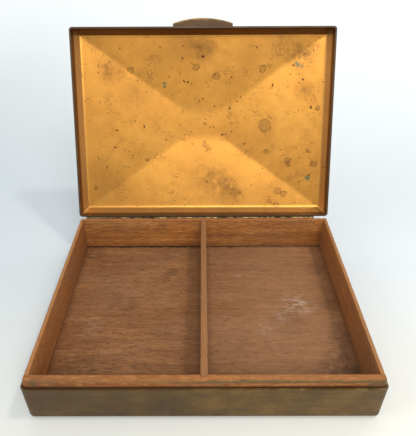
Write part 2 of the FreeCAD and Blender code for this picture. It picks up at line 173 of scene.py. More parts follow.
# ---------------------------------------------------------------------------------------------
# The liner's floor: one thin board of Spanish cedar, grain from left to right, dropped into the
# pan. It is dry and unvarnished, so it looks matt, with dark pores, faint bands and old scuffs.
# ---------------------------------------------------------------------------------------------
def cedar(name, along, shift, dark, middle, light):
    """Planed cedar with no finish: a matt, open grain of short dark pores that run one way, over
    fine fibres and soft darker bands. A pore is a fifth of a millimetre wide, and is drawn
    nearly three times that so that it can show."""
    material, tree, shader, where = start_material(name)
    pore_long, pore_wide, fibre_wide, band_wide, cloud_size = (4.2 * MM, 0.55 * MM, 0.8 * MM, 3.2 * MM,
                                                               26 * MM)

    def stretched(long, wide):
        """The board's own coordinates, drawn out along the grain."""
        scale = [1 / wide] * 3
        scale["XY".index(along)] = 1 / long
        return add(tree, "ShaderNodeMapping", {"Vector": where, "Location": shift, "Scale": scale})

    cloud = add(tree, "ShaderNodeTexNoise", {"Vector": stretched(cloud_size * 2, cloud_size),
                                             "Scale": 1.0, "Detail": 3.0, "Roughness": 0.6})
    band = add(tree, "ShaderNodeTexNoise", {"Vector": stretched(band_wide * 16, band_wide),
                                            "Scale": 1.0, "Detail": 4.0, "Roughness": 0.65,
                                            "Distortion": 0.35})
    fibre = add(tree, "ShaderNodeTexNoise", {"Vector": stretched(fibre_wide * 9, fibre_wide),
                                             "Scale": 1.0, "Detail": 3.0, "Roughness": 0.7})
    tone = add(tree, "ShaderNodeMix", {"Factor": 0.4, "A": band, "B": cloud}, data_type="FLOAT")
    tone = add(tree, "ShaderNodeMix", {"Factor": 0.4, "A": tone, "B": fibre}, data_type="FLOAT")
    body = add(tree, "ShaderNodeValToRGB", {"Fac": tone},
               stops=[(0.36, dark), (0.50, middle), (0.62, light)])
    pore = add(tree, "ShaderNodeTexNoise", {"Vector": stretched(pore_long, pore_wide), "Scale": 1.0,
                                            "Detail": 2.0, "Roughness": 0.55})
    # the colour drifts over the board, from a fresher orange to a greyer, dried-out brown
    drift = add(tree, "ShaderNodeTexNoise",
                {"Vector": stretched(60 * MM, 32 * MM), "Scale": 1.0, "Detail": 3.0, "Roughness": 0.7})
    dried = add(tree, "ShaderNodeMapRange",
                {"Value": drift, "From Min": 0.42, "From Max": 0.62, "To Max": 0.35})
    open_pore = add(tree, "ShaderNodeMapRange",
                    {"Value": pore, "From Min": 0.56, "From Max": 0.70, "To Max": 0.7})
    dash = add(tree, "ShaderNodeTexNoise",
               {"Vector": stretched(pore_long / 2, pore_wide * 1.6), "Scale": 1.0, "Detail": 1.0})
    deep_dash = add(tree, "ShaderNodeMapRange",
                    {"Value": dash, "From Min": 0.70, "From Max": 0.76, "To Max": 0.85})
    colour = body
    layers = [(dried, "#7B5D44"), (open_pore, "#4A2813"), (deep_dash, "#331A0C")]
    for mask, tone in layers:
        colour = add(tree, "ShaderNodeMix", {"Factor": mask, "A": colour, "B": tone},
                     data_type="RGBA", into=shader.inputs["Base Color"])
    add(tree, "ShaderNodeMapRange",
        {"Value": band, "From Min": 0.3, "From Max": 0.7, "To Min": 0.58, "To Max": 0.74},
        into=shader.inputs["Roughness"])
    add(tree, "ShaderNodeBump", {"Height": pore, "Strength": 0.5, "Distance": -0.12 * MM},
        into=shader.inputs["Normal"])
    shader.inputs["Specular IOR Level"].default_value = 0.3
    return material, tree, shader, where, colour


def soft_spot(tree, where, middle, radius, edge):
    """A mask that is one inside radius of a point and falls to nothing over edge."""
    away = add(tree, "ShaderNodeVectorMath", {0: where, 1: middle}, operation="DISTANCE")
    return add(tree, "ShaderNodeMapRange",
               {"Value": away.outputs["Value"], "From Min": radius + edge, "From Max": radius},
               interpolation_type="SMOOTHSTEP")


floor_cedar, tree, shader, where, colour = cedar("spanish_cedar_floor", "X", (0.0, 0.0, 0.0), "#6A4324",
                                                 "#875A35", "#A27349")
floor_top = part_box("liner_floor_board")[1][2]
front_low, front_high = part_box("liner_front_board")
back_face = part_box("liner_back_board")[0][1]
side_face = -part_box("liner_left_board")[1][0]
divider_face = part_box("divider_board")[1][0]
wavy = add(tree, "ShaderNodeTexNoise", {"Vector": where, "Scale": 1 / (4 * MM), "Detail": 3.0})
sway = add(tree, "ShaderNodeMapRange", {"Value": wavy, "To Min": -1.6 * MM, "To Max": 1.6 * MM})
place = add(tree, "ShaderNodeSeparateXYZ", {"Vector": where})
off_centre = add(tree, "ShaderNodeMath", {0: place.outputs["X"]}, operation="ABSOLUTE")
# grime and painted shade gather along the walls of both compartments, most of all under the back board
gaps = [add(tree, "ShaderNodeMath", {0: off_centre, 1: divider_face}, operation="SUBTRACT"),
        add(tree, "ShaderNodeMath", {0: side_face, 1: off_centre}, operation="SUBTRACT"),
        add(tree, "ShaderNodeMath", {0: place.outputs["Y"], 1: front_high[1]}, operation="SUBTRACT"),
        add(tree, "ShaderNodeMath", {0: back_face, 1: place.outputs["Y"]}, operation="SUBTRACT"),]
nearest = gaps[0]
for gap in gaps[1:]:
    nearest = add(tree, "ShaderNodeMath", {0: nearest, 1: gap}, operation="MINIMUM")
nearest = add(tree, "ShaderNodeMath", {0: nearest, 1: sway}, operation="ADD")
grime_and_shade = add(tree, "ShaderNodeMapRange",
            {"Value": nearest, "From Min": 3.2 * MM, "From Max": 0.0, "To Max": 0.45})
# the right-hand half is paler than the left
paler_to_right = add(tree, "ShaderNodeMapRange",
            {"Value": place.outputs["X"], "From Min": -30 * MM, "From Max": 40 * MM, "To Max": 0.3})
# a black line, painted along the back board and widest at the left, stands for an open joint
seam_depth = add(tree, "ShaderNodeMapRange", {"Value": sway, "From Min": -0.5 * MM,
                                              "From Max": 0.5 * MM, "To Min": -0.35 * MM,
                                              "To Max": 0.35 * MM})
seam_depth = add(tree, "ShaderNodeMath", {0: gaps[3], 1: seam_depth}, operation="ADD")
seam = add(tree, "ShaderNodeMapRange",
           {"Value": seam_depth, "From Min": 1.5 * MM, "From Max": 0.8 * MM, "To Max": 0.97})
seam_strength = add(tree, "ShaderNodeMapRange", {"Value": place.outputs["X"], "From Min": -20 * MM,
                                                 "From Max": 20 * MM, "To Min": 1.0, "To Max": 0.6})
seam = add(tree, "ShaderNodeMath", {0: seam, 1: seam_strength}, operation="MULTIPLY")
layers = [(grime_and_shade, "#54301A"), (paler_to_right, "#9C7350"), (seam, "#0D0704")]
for mask, tone in layers:
    colour = add(tree, "ShaderNodeMix", {"Factor": mask, "A": colour, "B": tone},
                 data_type="RGBA", into=shader.inputs["Base Color"])
# old stains, and three patches at x 76 along the right wall that are that wall's painted shadow: where
# each lies on the floor, how large it is, and how dark, in millimetres
stains_and_wall_shadow = [(74, -40, 6, 16, 0.62), (60, -50, 3, 10, 0.4), (-47, 4, 4, 9, 0.35), (-20, 32, 1, 4, 0.6),
          (-24, 27, 1, 4, 0.35), (-68, -38, 6, 18, 0.30), (-22, -14, 2, 8, 0.25),
          (-12, -52, 4, 9, 0.35), (-75, 50, 3, 9, 0.4), (48, -6, 3, 12, 0.22), (38, -52, 3, 9, 0.3),
          (76, -18, 3, 9, 0.45), (76, 8, 3, 9, 0.4), (76, 34, 3, 9, 0.35), (18, 57, 1, 3, 0.9)]
for x, y, radius, edge, strength in stains_and_wall_shadow:
    spot = soft_spot(tree, where, (x * MM, y * MM, floor_top), radius * MM, edge * MM)
    ragged = add(tree, "ShaderNodeMapRange",
                 {"Value": wavy, "From Min": 0.25, "From Max": 0.6, "To Max": strength})
    mask = add(tree, "ShaderNodeMath", {0: spot, 1: ragged}, operation="MULTIPLY")
    colour = add(tree, "ShaderNodeMix", {"Factor": mask, "A": colour, "B": "#3F2716"},
                 data_type="RGBA", into=shader.inputs["Base Color"])
# pale scuffs where something hard was dragged about in the right compartment
scuff_lines = add(tree, "ShaderNodeMapping",
                  {"Vector": where, "Rotation": (0, 0, 0.25), "Scale": (0.35, 1.0, 1.0)})
scuff_noise = add(tree, "ShaderNodeTexNoise",
                  {"Vector": scuff_lines, "Scale": 1 / (1.9 * MM), "Detail": 6.0, "Roughness": 0.8})
scuffs = [(52, 6, 2, 8, 0.75), (45, -3, 1, 8, 0.5), (34, -12, 1, 7, 0.25), (58, 4, 1, 12, 0.5),
          (22, 28, 0.3, 2.5, 0.6), (-62, -12, 1, 9, 0.25)]
for x, y, radius, edge, strength in scuffs:
    spot = soft_spot(tree, where, (x * MM, y * MM, floor_top), radius * MM, edge * MM)
    torn = add(tree, "ShaderNodeMapRange",
               {"Value": scuff_noise, "From Min": 0.47, "From Max": 0.72, "To Max": strength})
    mask = add(tree, "ShaderNodeMath", {0: spot, 1: torn}, operation="MULTIPLY")
    colour = add(tree, "ShaderNodeMix", {"Factor": mask, "A": colour, "B": "#CDB8A6"},
                 data_type="RGBA", into=shader.inputs["Base Color"])
dress("liner_floor_board", floor_cedar)

# ---------------------------------------------------------------------------------------------
# The liner's four walls: thin cedar boards glued up inside the pan, standing proud of its rim as
# a lip for the lid to close over. The lip's outer edge is rounded by hand, and closing the lid
# on it for years has bruised it, rubbed it pale and left dark smears of metal.
# ---------------------------------------------------------------------------------------------
def board(name, node, length_axis, face_side, lip, corner, dado, inner_ease, seed):
    """A board sliced across its length. Each slice runs up the outer face, over the lip and down
    the inner face, so the rounding, the bruises and the stopped dado are part of the shape. The
    axes are 0 for X and 1 for Y, and face_side is -1 where the outer face is the lower one."""
    low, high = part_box(node)
    across = 1 - length_axis
    start, stop = low[length_axis], high[length_axis]
    thick = high[across] - low[across]
    slice_count, arc_steps = 96, 5
    bruise_size, deep_chip, small_chip, chip_slope = 7 * MM, 1.1 * MM, 0.7 * MM, 0.6
    wear, uneven_wear, crown, corner_drop = 0.10 * MM, 0.12 * MM, 0.05 * MM, 0.8
    clear_of_recess, recess_step, unworn_half = 0.2 * MM, 0.01 * MM, 4 * MM
    places = [start + n * (stop - start) / slice_count for n in range(slice_count + 1)]
    if corner:
        for turn in (0.05, 0.15, 0.3, 0.45, 0.6, 0.8):
            places += [start + corner * turn, stop - corner * turn]
    recess_edges = []
    if dado:
        middle, half, depth = dado
        recess_edges = [middle - half, middle + half]
        places = [p for p in places if min(abs(p - e) for e in recess_edges) > clear_of_recess]
        for edge in recess_edges:
            places += [edge - recess_step, edge + recess_step]
    places.sort()
    shape = bmesh.new()
    rings = []
    for where_along in places:
        from_end = min(where_along - start, stop - where_along)
        held_in = 0.0
        dropped = 0.0
        if corner and from_end < corner:
            held_in = corner - math.sqrt(corner**2 - (corner - from_end) ** 2)
        if corner and from_end < lip:
            dropped = corner_drop * (lip - math.sqrt(lip**2 - (lip - from_end) ** 2))
        bruise = noise.noise(Vector((where_along / bruise_size, seed, 0.0)))
        fine = noise.noise(Vector((where_along / (bruise_size / 4), seed, 7.0)))
        chip = max(0.0, bruise - 0.1) * deep_chip + max(0.0, fine - 0.1) * small_chip
        sink = wear + uneven_wear * fine
        if dado and abs(where_along - dado[0]) < unworn_half:
            sink = 0.0
        inner = thick
        if dado and recess_edges[0] < where_along < recess_edges[1]:
            inner = thick - depth
        top = high[2] - dropped - sink
        outline = [(held_in, low[2])]
        outline += [(held_in, low[2] + (top - lip - low[2]) * part) for part in (0.3, 0.6, 0.85)]
        for step in range(arc_steps + 1):
            angle = math.pi - step / arc_steps * math.pi / 2
            push = chip * math.sin(2 * (math.pi - angle))
            outline.append((held_in + lip + lip * math.cos(angle) + push,
                            top - lip + lip * math.sin(angle) - push * chip_slope))
        outline.append(((held_in + lip + inner) / 2, top - crown * (1 + fine)))
        for step in range(3):
            angle = math.pi / 2 - step / 2 * math.pi / 2
            outline.append((inner - inner_ease + inner_ease * math.cos(angle),
                            top - inner_ease + inner_ease * math.sin(angle)))
        outline.append((inner, low[2] + (top - low[2]) * 0.5))
        outline.append((inner, low[2]))
        ring = []
        for depth_in, z in outline:
            point = [0.0, 0.0, z]
            point[length_axis] = where_along
            point[across] = low[across] + depth_in if face_side < 0 else high[across] - depth_in
            ring.append(shape.verts.new(point))
        rings.append(ring)
    count = len(rings[0])
    for first, second in zip(rings, rings[1:]):
        for n in range(count):
            after = (n + 1) % count
            shape.faces.new((first[n], first[after], second[after], second[n]))
    shape.faces.new(rings[0])
    shape.faces.new(rings[-1])
    return finish_mesh(shape, name, 38)


def finish_mesh(shape, name, sharp_from):
    """Turns worked geometry into a piece, smooth but for edges sharper than so many degrees."""
    merge_within = 1e-7
    bmesh.ops.remove_doubles(shape, verts=shape.verts, dist=merge_within)
    bmesh.ops.recalc_face_normals(shape, faces=shape.faces)
    for face in shape.faces:
        face.smooth = True
    for edge in shape.edges:
        edge.smooth = edge.calc_face_angle(0.0) < math.radians(sharp_from)
    mesh = bpy.data.meshes.new(name)
    shape.to_mesh(mesh)
    shape.free()
    piece = bpy.data.objects.new(name, mesh)
    bpy.context.collection.objects.link(piece)
    return piece


def worn_lip_and_foot_shade(tree, shader, where, colour, lip_top, pale, dust_and_shade_low):
    """Handling has bleached the lip, and dust with a painted shade has darkened the foot of the board."""
    height = add(tree, "ShaderNodeSeparateXYZ", {"Vector": where}).outputs["Z"]
    uneven = add(tree, "ShaderNodeTexNoise", {"Vector": where, "Scale": 1 / (3 * MM), "Detail": 3.0})
    sway = add(tree, "ShaderNodeMapRange", {"Value": uneven, "To Min": -0.8 * MM, "To Max": 0.8 * MM})
    level = add(tree, "ShaderNodeMath", {0: height, 1: sway}, operation="ADD")
    bleached = add(tree, "ShaderNodeMapRange", {"Value": level, "From Min": lip_top - 0.9 * MM,
                                                "From Max": lip_top - 0.1 * MM, "To Max": 0.62})
    # the foot of the board is darkened by dust and by painted shade, where it meets the floor
    dust_and_shade = add(tree, "ShaderNodeMapRange", {"Value": level, "From Min": dust_and_shade_low + 3.5 * MM,
                                             "From Max": dust_and_shade_low, "To Max": 0.4})
    layers = [(bleached, pale), (dust_and_shade, "#4E2B16")]
    for mask, tone in layers:
        colour = add(tree, "ShaderNodeMix", {"Factor": mask, "A": colour, "B": tone},
                     data_type="RGBA", into=shader.inputs["Base Color"])
    return colour


lip_round, corner_round, inner_ease = 0.9 * MM, 1.4 * MM, 0.3 * MM
dado_middle, dado_half, dado_depth = 0.0, 1.75 * MM, 0.8 * MM
dado = (dado_middle, dado_half, dado_depth)
lip_top = front_high[2]

# the front board: the palest and most bruised, with a dark rubbed line along its outer edge
front_cedar, tree, shader, where, colour = cedar("spanish_cedar_front_lip", "X", (3.1, 0.7, 1.9),
                                                 "#6E3E1C", "#94592A", "#B27439")
colour = worn_lip_and_foot_shade(tree, shader, where, colour, lip_top, "#A06734", floor_top)
place = add(tree, "ShaderNodeSeparateXYZ", {"Vector": where})
# its left end is darker rather than pale
darker_to_left = add(tree, "ShaderNodeMapRange",
              {"Value": place.outputs["X"], "From Min": 10 * MM, "From Max": -70 * MM, "To Max": 0.5})
# knocks have broken the lip's surface into short pale flecks
knock_place = add(tree, "ShaderNodeMapping", {"Vector": where, "Scale": (0.35, 1.0, 1.0)})
knocks = add(tree, "ShaderNodeTexNoise",
             {"Vector": knock_place, "Scale": 1 / (1.7 * MM), "Detail": 4.0, "Roughness": 0.7})
pale_knocks = add(tree, "ShaderNodeMapRange",
                  {"Value": knocks, "From Min": 0.54, "From Max": 0.68, "To Max": 0.36})
dark_knocks = add(tree, "ShaderNodeMapRange",
                  {"Value": knocks, "From Min": 0.46, "From Max": 0.34, "To Max": 0.45})
rub_noise = add(tree, "ShaderNodeMapping", {"Vector": where, "Scale": (0.22, 1.0, 1.0)})
rub_noise = add(tree, "ShaderNodeTexNoise",
                {"Vector": rub_noise, "Scale": 1 / (1.8 * MM), "Detail": 4.0, "Roughness": 0.65})
rub_sway = add(tree, "ShaderNodeMapRange",
               {"Value": rub_noise, "To Min": -0.9 * MM, "To Max": 0.9 * MM})
below_top = add(tree, "ShaderNodeMath", {0: lip_top, 1: place.outputs["Z"]}, operation="SUBTRACT")
below_top = add(tree, "ShaderNodeMath", {0: below_top, 1: rub_sway}, operation="ADD")
off_line = add(tree, "ShaderNodeMath", {0: below_top, 1: 0.75 * MM}, operation="SUBTRACT")
off_line = add(tree, "ShaderNodeMath", {0: off_line}, operation="ABSOLUTE")
rub_line = add(tree, "ShaderNodeMapRange",
               {"Value": off_line, "From Min": 0.95 * MM, "From Max": 0.25 * MM})
to_right = add(tree, "ShaderNodeMapRange", {"Value": place.outputs["X"], "From Min": -40 * MM,
                                            "From Max": 8 * MM, "To Min": 0.35, "To Max": 0.95})
rub_and_highlight = add(tree, "ShaderNodeMath", {0: rub_line, 1: to_right}, operation="MULTIPLY")
outer_half = add(tree, "ShaderNodeMapRange", {"Value": place.outputs["Y"],
                                              "From Min": front_low[1] + 1.4 * MM,
                                              "From Max": front_low[1] + 0.9 * MM})
rub_and_highlight = add(tree, "ShaderNodeMath", {0: rub_and_highlight, 1: outer_half}, operation="MULTIPLY")
# a painted shadow darkens the lip's face just above the pan's rim, where the joint lies in shade
joint_shadow = add(tree, "ShaderNodeMapRange", {"Value": place.outputs["Z"], "From Min": pan_rim + 1.5 * MM,
                                        "From Max": pan_rim + 0.1 * MM, "To Max": 0.9})
layers = [(darker_to_left, "#6E3F1B"), (pale_knocks, "#C4965A"), (dark_knocks, "#6E431F"),
          (rub_and_highlight, "#5C4827"), (joint_shadow, "#3A2010")]
for mask, tone in layers:
    colour = add(tree, "ShaderNodeMix", {"Factor": mask, "A": colour, "B": tone},
                 data_type="RGBA", into=shader.inputs["Base Color"])
# verdigris from the metal has soaked into both ends of the lip
for x, drop, radius, strength in [(-76, 1.8, 0.6, 0.7), (75, 2.8, 0.9, 0.6), (79, 2.6, 0.6, 0.6),
                                  (-68, 2.4, 0.4, 0.3), (6, 2.4, 0.6, 0.35)]:
    spot = soft_spot(tree, where, (x * MM, front_low[1], lip_top - drop * MM), radius * MM, 2.4 * MM)
    mask = add(tree, "ShaderNodeMath", {0: spot, 1: strength}, operation="MULTIPLY")
    colour = add(tree, "ShaderNodeMix", {"Factor": mask, "A": colour, "B": "#4E4228"},
                 data_type="RGBA", into=shader.inputs["Base Color"])
front_board = board("cedar_front_board", "liner_front_board", 0, -1, lip_round, corner_round, dado,
                    inner_ease, 1.0)
front_board.data.materials.append(front_cedar)
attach(front_board, "box")
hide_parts("liner_front_board")

# the back board: a redder piece, hardly touched at its lip, whose right half is rippled across
# the grain and flecked with pale spots
back_cedar, tree, shader, where, colour = cedar("spanish_cedar_back", "X", (8.4, 2.2, 5.3), "#7B431C",
                                                "#A86B32", "#CC8C49")
place = add(tree, "ShaderNodeSeparateXYZ", {"Vector": where})
to_right = add(tree, "ShaderNodeMapRange", {"Value": place.outputs["X"], "From Min": -8 * MM,
                                            "From Max": 14 * MM, "To Min": 0.25, "To Max": 1.0})
curl_bend = add(tree, "ShaderNodeTexNoise", {"Vector": where, "Scale": 1 / (13 * MM), "Detail": 2.0})
curl_bend = add(tree, "ShaderNodeMath", {0: curl_bend, 1: 0.5}, operation="SUBTRACT")
curl_bend = add(tree, "ShaderNodeMath", {0: curl_bend, 1: 14 * MM}, operation="MULTIPLY")
curl = add(tree, "ShaderNodeMath", {0: place.outputs["Z"], 1: curl_bend}, operation="ADD")
curl = add(tree, "ShaderNodeMath", {0: curl, 1: math.tau / (2.1 * MM)}, operation="MULTIPLY")
curl = add(tree, "ShaderNodeMath", {0: curl}, operation="SINE")
curl = add(tree, "ShaderNodeMapRange", {"Value": curl, "From Min": 0.1, "From Max": 1.0, "To Max": 0.5})
curl = add(tree, "ShaderNodeMath", {0: curl, 1: to_right}, operation="MULTIPLY")
fleck_place = add(tree, "ShaderNodeMapping", {"Vector": where, "Scale": (0.45, 1.0, 1.0)})
fleck = add(tree, "ShaderNodeTexNoise",
            {"Vector": fleck_place, "Scale": 1 / (1.5 * MM), "Detail": 4.0, "Roughness": 0.7})
fleck = add(tree, "ShaderNodeMapRange",
            {"Value": fleck, "From Min": 0.60, "From Max": 0.72, "To Max": 0.55})
fleck = add(tree, "ShaderNodeMath", {0: fleck, 1: to_right}, operation="MULTIPLY")
layers = [(curl, "#7A451D"), (fleck, "#CDA27C")]
for mask, tone in layers:
    colour = add(tree, "ShaderNodeMix", {"Factor": mask, "A": colour, "B": tone},
                 data_type="RGBA", into=shader.inputs["Base Color"])
worn_lip_and_foot_shade(tree, shader, where, colour, lip_top, "#9A6438", floor_top)
back_board = board("cedar_back_board", "liner_back_board", 0, 1, lip_round, corner_round, dado,
                   inner_ease, 2.0)
back_board.data.materials.append(back_cedar)
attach(back_board, "box")
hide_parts("liner_back_board")

# the two side boards run from front to back between the other two
for side, face_side, shift, seed in [("left", -1, (1.7, 6.1, 0.4), 3.0),
                                     ("right", 1, (5.2, 4.3, 2.8), 4.0)]:
    side_cedar, tree, shader, where, colour = cedar("spanish_cedar_%s_side" % side, "Y", shift,
                                                    "#7B4A25", "#976033", "#AA7140")
    worn_lip_and_foot_shade(tree, shader, where, colour, lip_top, "#A0703F", floor_top)
    node = "liner_%s_board" % side
    side_board = board("cedar_%s_board" % side, node, 1, face_side, lip_round, 0.0, None, inner_ease,
                       seed)
    side_board.data.materials.append(side_cedar)
    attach(side_board, "box")
    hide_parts(node)

# ---------------------------------------------------------------------------------------------
# The divider: a thicker strip of the same cedar, let into stopped dadoes in the front and back
# boards. Both of its top edges are eased, and its top has been handled pale.
# ---------------------------------------------------------------------------------------------
divider_cedar, tree, shader, where, colour = cedar("spanish_cedar_divider", "Y", (9.6, 3.3, 7.7),
                                                   "#7C4E2A", "#946338", "#A47345")
worn_lip_and_foot_shade(tree, shader, where, colour, lip_top, "#855C38", floor_top)
divider_ease = 0.45 * MM
divider = board("cedar_divider", "divider_board", 1, -1, divider_ease, 0.0, None, divider_ease, 5.0)
divider.data.materials.append(divider_cedar)
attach(divider, "box")
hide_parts("divider_board")

# ---------------------------------------------------------------------------------------------
# The piano hinge: two strips of sheet brass whose edges are cut into tongues, and each tongue is
# rolled round a wire pin. The leaves are soldered to the outside of the pan and of the lid. It
# is as dull as the box, but rubbed bright on top of the rolls, where a painted highlight is added.
# ---------------------------------------------------------------------------------------------
def hinge_brass(name, axis):
    """Brass gone as brown as the box, and still yellow, partly as a painted highlight, on the outside
    of each roll, where the two leaves rub: mostly metallic, with a broken gloss that gives each roll a
    highlight."""
    material, tree, shader, where = start_material(name)
    patch_size, fine_size = 4 * MM, 0.7 * MM
    patch = add(tree, "ShaderNodeTexNoise",
                {"Vector": where, "Scale": 1 / patch_size, "Detail": 4.0, "Roughness": 0.6})
    body = add(tree, "ShaderNodeValToRGB", {"Fac": patch},
               stops=[(0.30, "#41301C"), (0.50, "#59432A"), (0.70, "#705838")])
    flat = add(tree, "ShaderNodeVectorMath", {0: where, 1: (0.0, 1.0, 1.0)}, operation="MULTIPLY")
    away = add(tree, "ShaderNodeVectorMath", {0: flat, 1: (0.0, axis.y, axis.z)}, operation="DISTANCE")
    on_roll = add(tree, "ShaderNodeMapRange",
                  {"Value": away.outputs["Value"], "From Min": 1.55 * MM, "From Max": 1.4 * MM})
    rub_and_highlight = add(tree, "ShaderNodeMapRange",
                 {"Value": patch, "From Min": 0.42, "From Max": 0.62, "To Max": 0.85})
    # the yellow on the outside of the rolls is partly wear and partly a painted highlight
    wear_and_highlight = add(tree, "ShaderNodeMath", {0: on_roll, 1: rub_and_highlight}, operation="MULTIPLY")
    add(tree, "ShaderNodeMix", {"Factor": wear_and_highlight, "A": body, "B": "#A88B5B"},
        data_type="RGBA", into=shader.inputs["Base Color"])
    add(tree, "ShaderNodeMapRange", {"Value": wear_and_highlight, "To Min": 0.55, "To Max": 0.34},
        into=shader.inputs["Roughness"])
    fine = add(tree, "ShaderNodeTexNoise", {"Vector": where, "Scale": 1 / fine_size})
    add(tree, "ShaderNodeBump", {"Height": fine, "Strength": 0.3, "Distance": 0.08 * MM},
        into=shader.inputs["Normal"])
    shader.inputs["Metallic"].default_value = 0.75
    return material


def start_shape(name, sizes):
    """An empty Geometry Nodes tree with a named input for each size, and a dict of them."""
    tree = bpy.data.node_groups.new(name, "GeometryNodeTree")
    tree.interface.new_socket("Geometry", in_out="OUTPUT", socket_type="NodeSocketGeometry")
    for size, value in sizes.items():
        kind = "NodeSocketInt" if isinstance(value, int) else "NodeSocketFloat"
        tree.interface.new_socket(size, in_out="INPUT", socket_type=kind)
    given = add(tree, "NodeGroupInput").outputs
    return tree, {size: given[size] for size in sizes}


def grow(name, tree, sizes, thickness=0.0):
    """Runs a tree with its sizes, gives the sheet its thickness, and keeps the plain mesh."""
    holder = bpy.data.objects.new(name, bpy.data.meshes.new(name))
    bpy.context.collection.objects.link(holder)
    growing = holder.modifiers.new("growing", "NODES")
    growing.node_group = tree
    for socket in tree.interface.items_tree:
        if socket.in_out == "INPUT":
            growing[socket.identifier] = sizes[socket.name]
    if thickness:
        walls = holder.modifiers.new("walls", "SOLIDIFY")
        walls.thickness = thickness
        walls.offset = 1.0
        walls.use_even_offset = True
    evaluated = holder.evaluated_get(bpy.context.evaluated_depsgraph_get())
    plain = bpy.data.meshes.new_from_object(evaluated)
    holder.modifiers.clear()
    bpy.data.objects.remove(holder)
    return plain


hinge = frame["record"]["behaviour"]["joints"][0]
axis = Vector(hinge["pos_m"])
hinge_material = hinge_brass("brass_rolled_and_tarnished", axis)
leaf_low, leaf_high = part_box("hinge_leaf_base")
pitch, play, sheet_thick, bore = 4.0 * MM, 0.16 * MM, 0.55 * MM, 0.75 * MM
tongue_count = round((leaf_high[0] - leaf_low[0]) / (2 * pitch))
shared = {"Count": tongue_count, "Pitch": 2 * pitch, "Width": pitch - play, "Thickness": sheet_thick,
          "Roll": bore + sheet_thick / 2, "Length": 2 * pitch * tongue_count, "Left": leaf_low[0],
          "Axis Y": axis.y, "Axis Z": axis.z, "Neck": 1.42 * MM}
# the pan's leaf winds upward from a plate below the pin, and the lid's, drawn shut, downward
pan_leaf_sizes = dict(shared, First=leaf_low[0] + pitch / 2, Side=1.0, Plate=7.0 * MM)
lid_leaf_sizes = dict(shared, First=leaf_low[0] + 1.5 * pitch, Side=-1.0, Plate=1.13 * MM)
tree, given = start_shape("hinge_leaf", pan_leaf_sizes)
# a tongue, drawn as a straight neck that then winds round the pin for most of a turn
tongue_points, roll_span = 26, math.radians(318)
roll_length = add(tree, "ShaderNodeMath", {0: given["Roll"], 1: roll_span}, operation="MULTIPLY")
tongue_length = add(tree, "ShaderNodeMath", {0: roll_length, 1: given["Neck"]}, operation="ADD")
tip = add(tree, "ShaderNodeCombineXYZ", {"Z": tongue_length})
line = add(tree, "GeometryNodeCurvePrimitiveLine", {"End": tip})
line = add(tree, "GeometryNodeResampleCurve", {"Curve": line, "Count": tongue_points})
gone = add(tree, "GeometryNodeSplineParameter").outputs["Length"]
past_neck = add(tree, "ShaderNodeMath", {0: gone, 1: given["Neck"]}, operation="SUBTRACT")
past_neck = add(tree, "ShaderNodeMath", {0: past_neck, 1: 0.0}, operation="MAXIMUM")
wound = add(tree, "ShaderNodeMath", {0: past_neck, 1: given["Roll"]}, operation="DIVIDE")
straight = add(tree, "ShaderNodeMath", {0: gone, 1: given["Neck"]}, operation="MINIMUM")
straight = add(tree, "ShaderNodeMath", {0: straight, 1: given["Neck"]}, operation="SUBTRACT")
cosine = add(tree, "ShaderNodeMath", {0: wound}, operation="COSINE")
sine = add(tree, "ShaderNodeMath", {0: wound}, operation="SINE")
out = add(tree, "ShaderNodeMath", {0: cosine, 1: given["Roll"]}, operation="MULTIPLY")
out = add(tree, "ShaderNodeMath", {0: given["Axis Y"], 1: out}, operation="SUBTRACT")
risen = add(tree, "ShaderNodeMath", {0: sine, 1: given["Roll"]}, operation="MULTIPLY")
risen = add(tree, "ShaderNodeMath", {0: risen, 1: straight}, operation="ADD")
risen = add(tree, "ShaderNodeMath", {0: risen, 1: given["Side"]}, operation="MULTIPLY")
risen = add(tree, "ShaderNodeMath", {0: risen, 1: given["Axis Z"]}, operation="ADD")
wound_place = add(tree, "ShaderNodeCombineXYZ", {"Y": out, "Z": risen})
line = add(tree, "GeometryNodeSetPosition", {"Geometry": line, "Position": wound_place})
strip = add(tree, "GeometryNodeCurvePrimitiveQuadrilateral",
            {"Width": given["Width"], "Height": given["Thickness"]})
tongue = add(tree, "GeometryNodeCurveToMesh",
             {"Curve": line, "Profile Curve": strip, "Fill Caps": True})
first_place = add(tree, "ShaderNodeCombineXYZ", {"X": given["First"]})
step_along = add(tree, "ShaderNodeCombineXYZ", {"X": given["Pitch"]})
row = add(tree, "GeometryNodeMeshLine",
          {"Count": given["Count"], "Start Location": first_place, "Offset": step_along})
tongues = add(tree, "GeometryNodeInstanceOnPoints", {"Points": row, "Instance": tongue})
tongues = add(tree, "GeometryNodeRealizeInstances", {"Geometry": tongues})
plate_size = add(tree, "ShaderNodeCombineXYZ",
                 {"X": given["Length"], "Y": given["Thickness"], "Z": given["Plate"]})
plate = add(tree, "GeometryNodeMeshCube", {"Size": plate_size})
half_length = add(tree, "ShaderNodeMath", {0: given["Length"], 1: 0.5}, operation="MULTIPLY")
plate_x = add(tree, "ShaderNodeMath", {0: given["Left"], 1: half_length}, operation="ADD")
plate_y = add(tree, "ShaderNodeMath", {0: given["Axis Y"], 1: given["Roll"]}, operation="SUBTRACT")
half_plate = add(tree, "ShaderNodeMath", {0: given["Plate"], 1: 0.5}, operation="MULTIPLY")
plate_z = add(tree, "ShaderNodeMath", {0: half_plate, 1: given["Neck"]}, operation="ADD")
plate_z = add(tree, "ShaderNodeMath", {0: plate_z, 1: given["Side"]}, operation="MULTIPLY")
plate_z = add(tree, "ShaderNodeMath", {0: given["Axis Z"], 1: plate_z}, operation="SUBTRACT")
plate_at = add(tree, "ShaderNodeCombineXYZ", {"X": plate_x, "Y": plate_y, "Z": plate_z})
plate = add(tree, "GeometryNodeTransform", {"Geometry": plate, "Translation": plate_at})
leaf = add(tree, "GeometryNodeJoinGeometry")
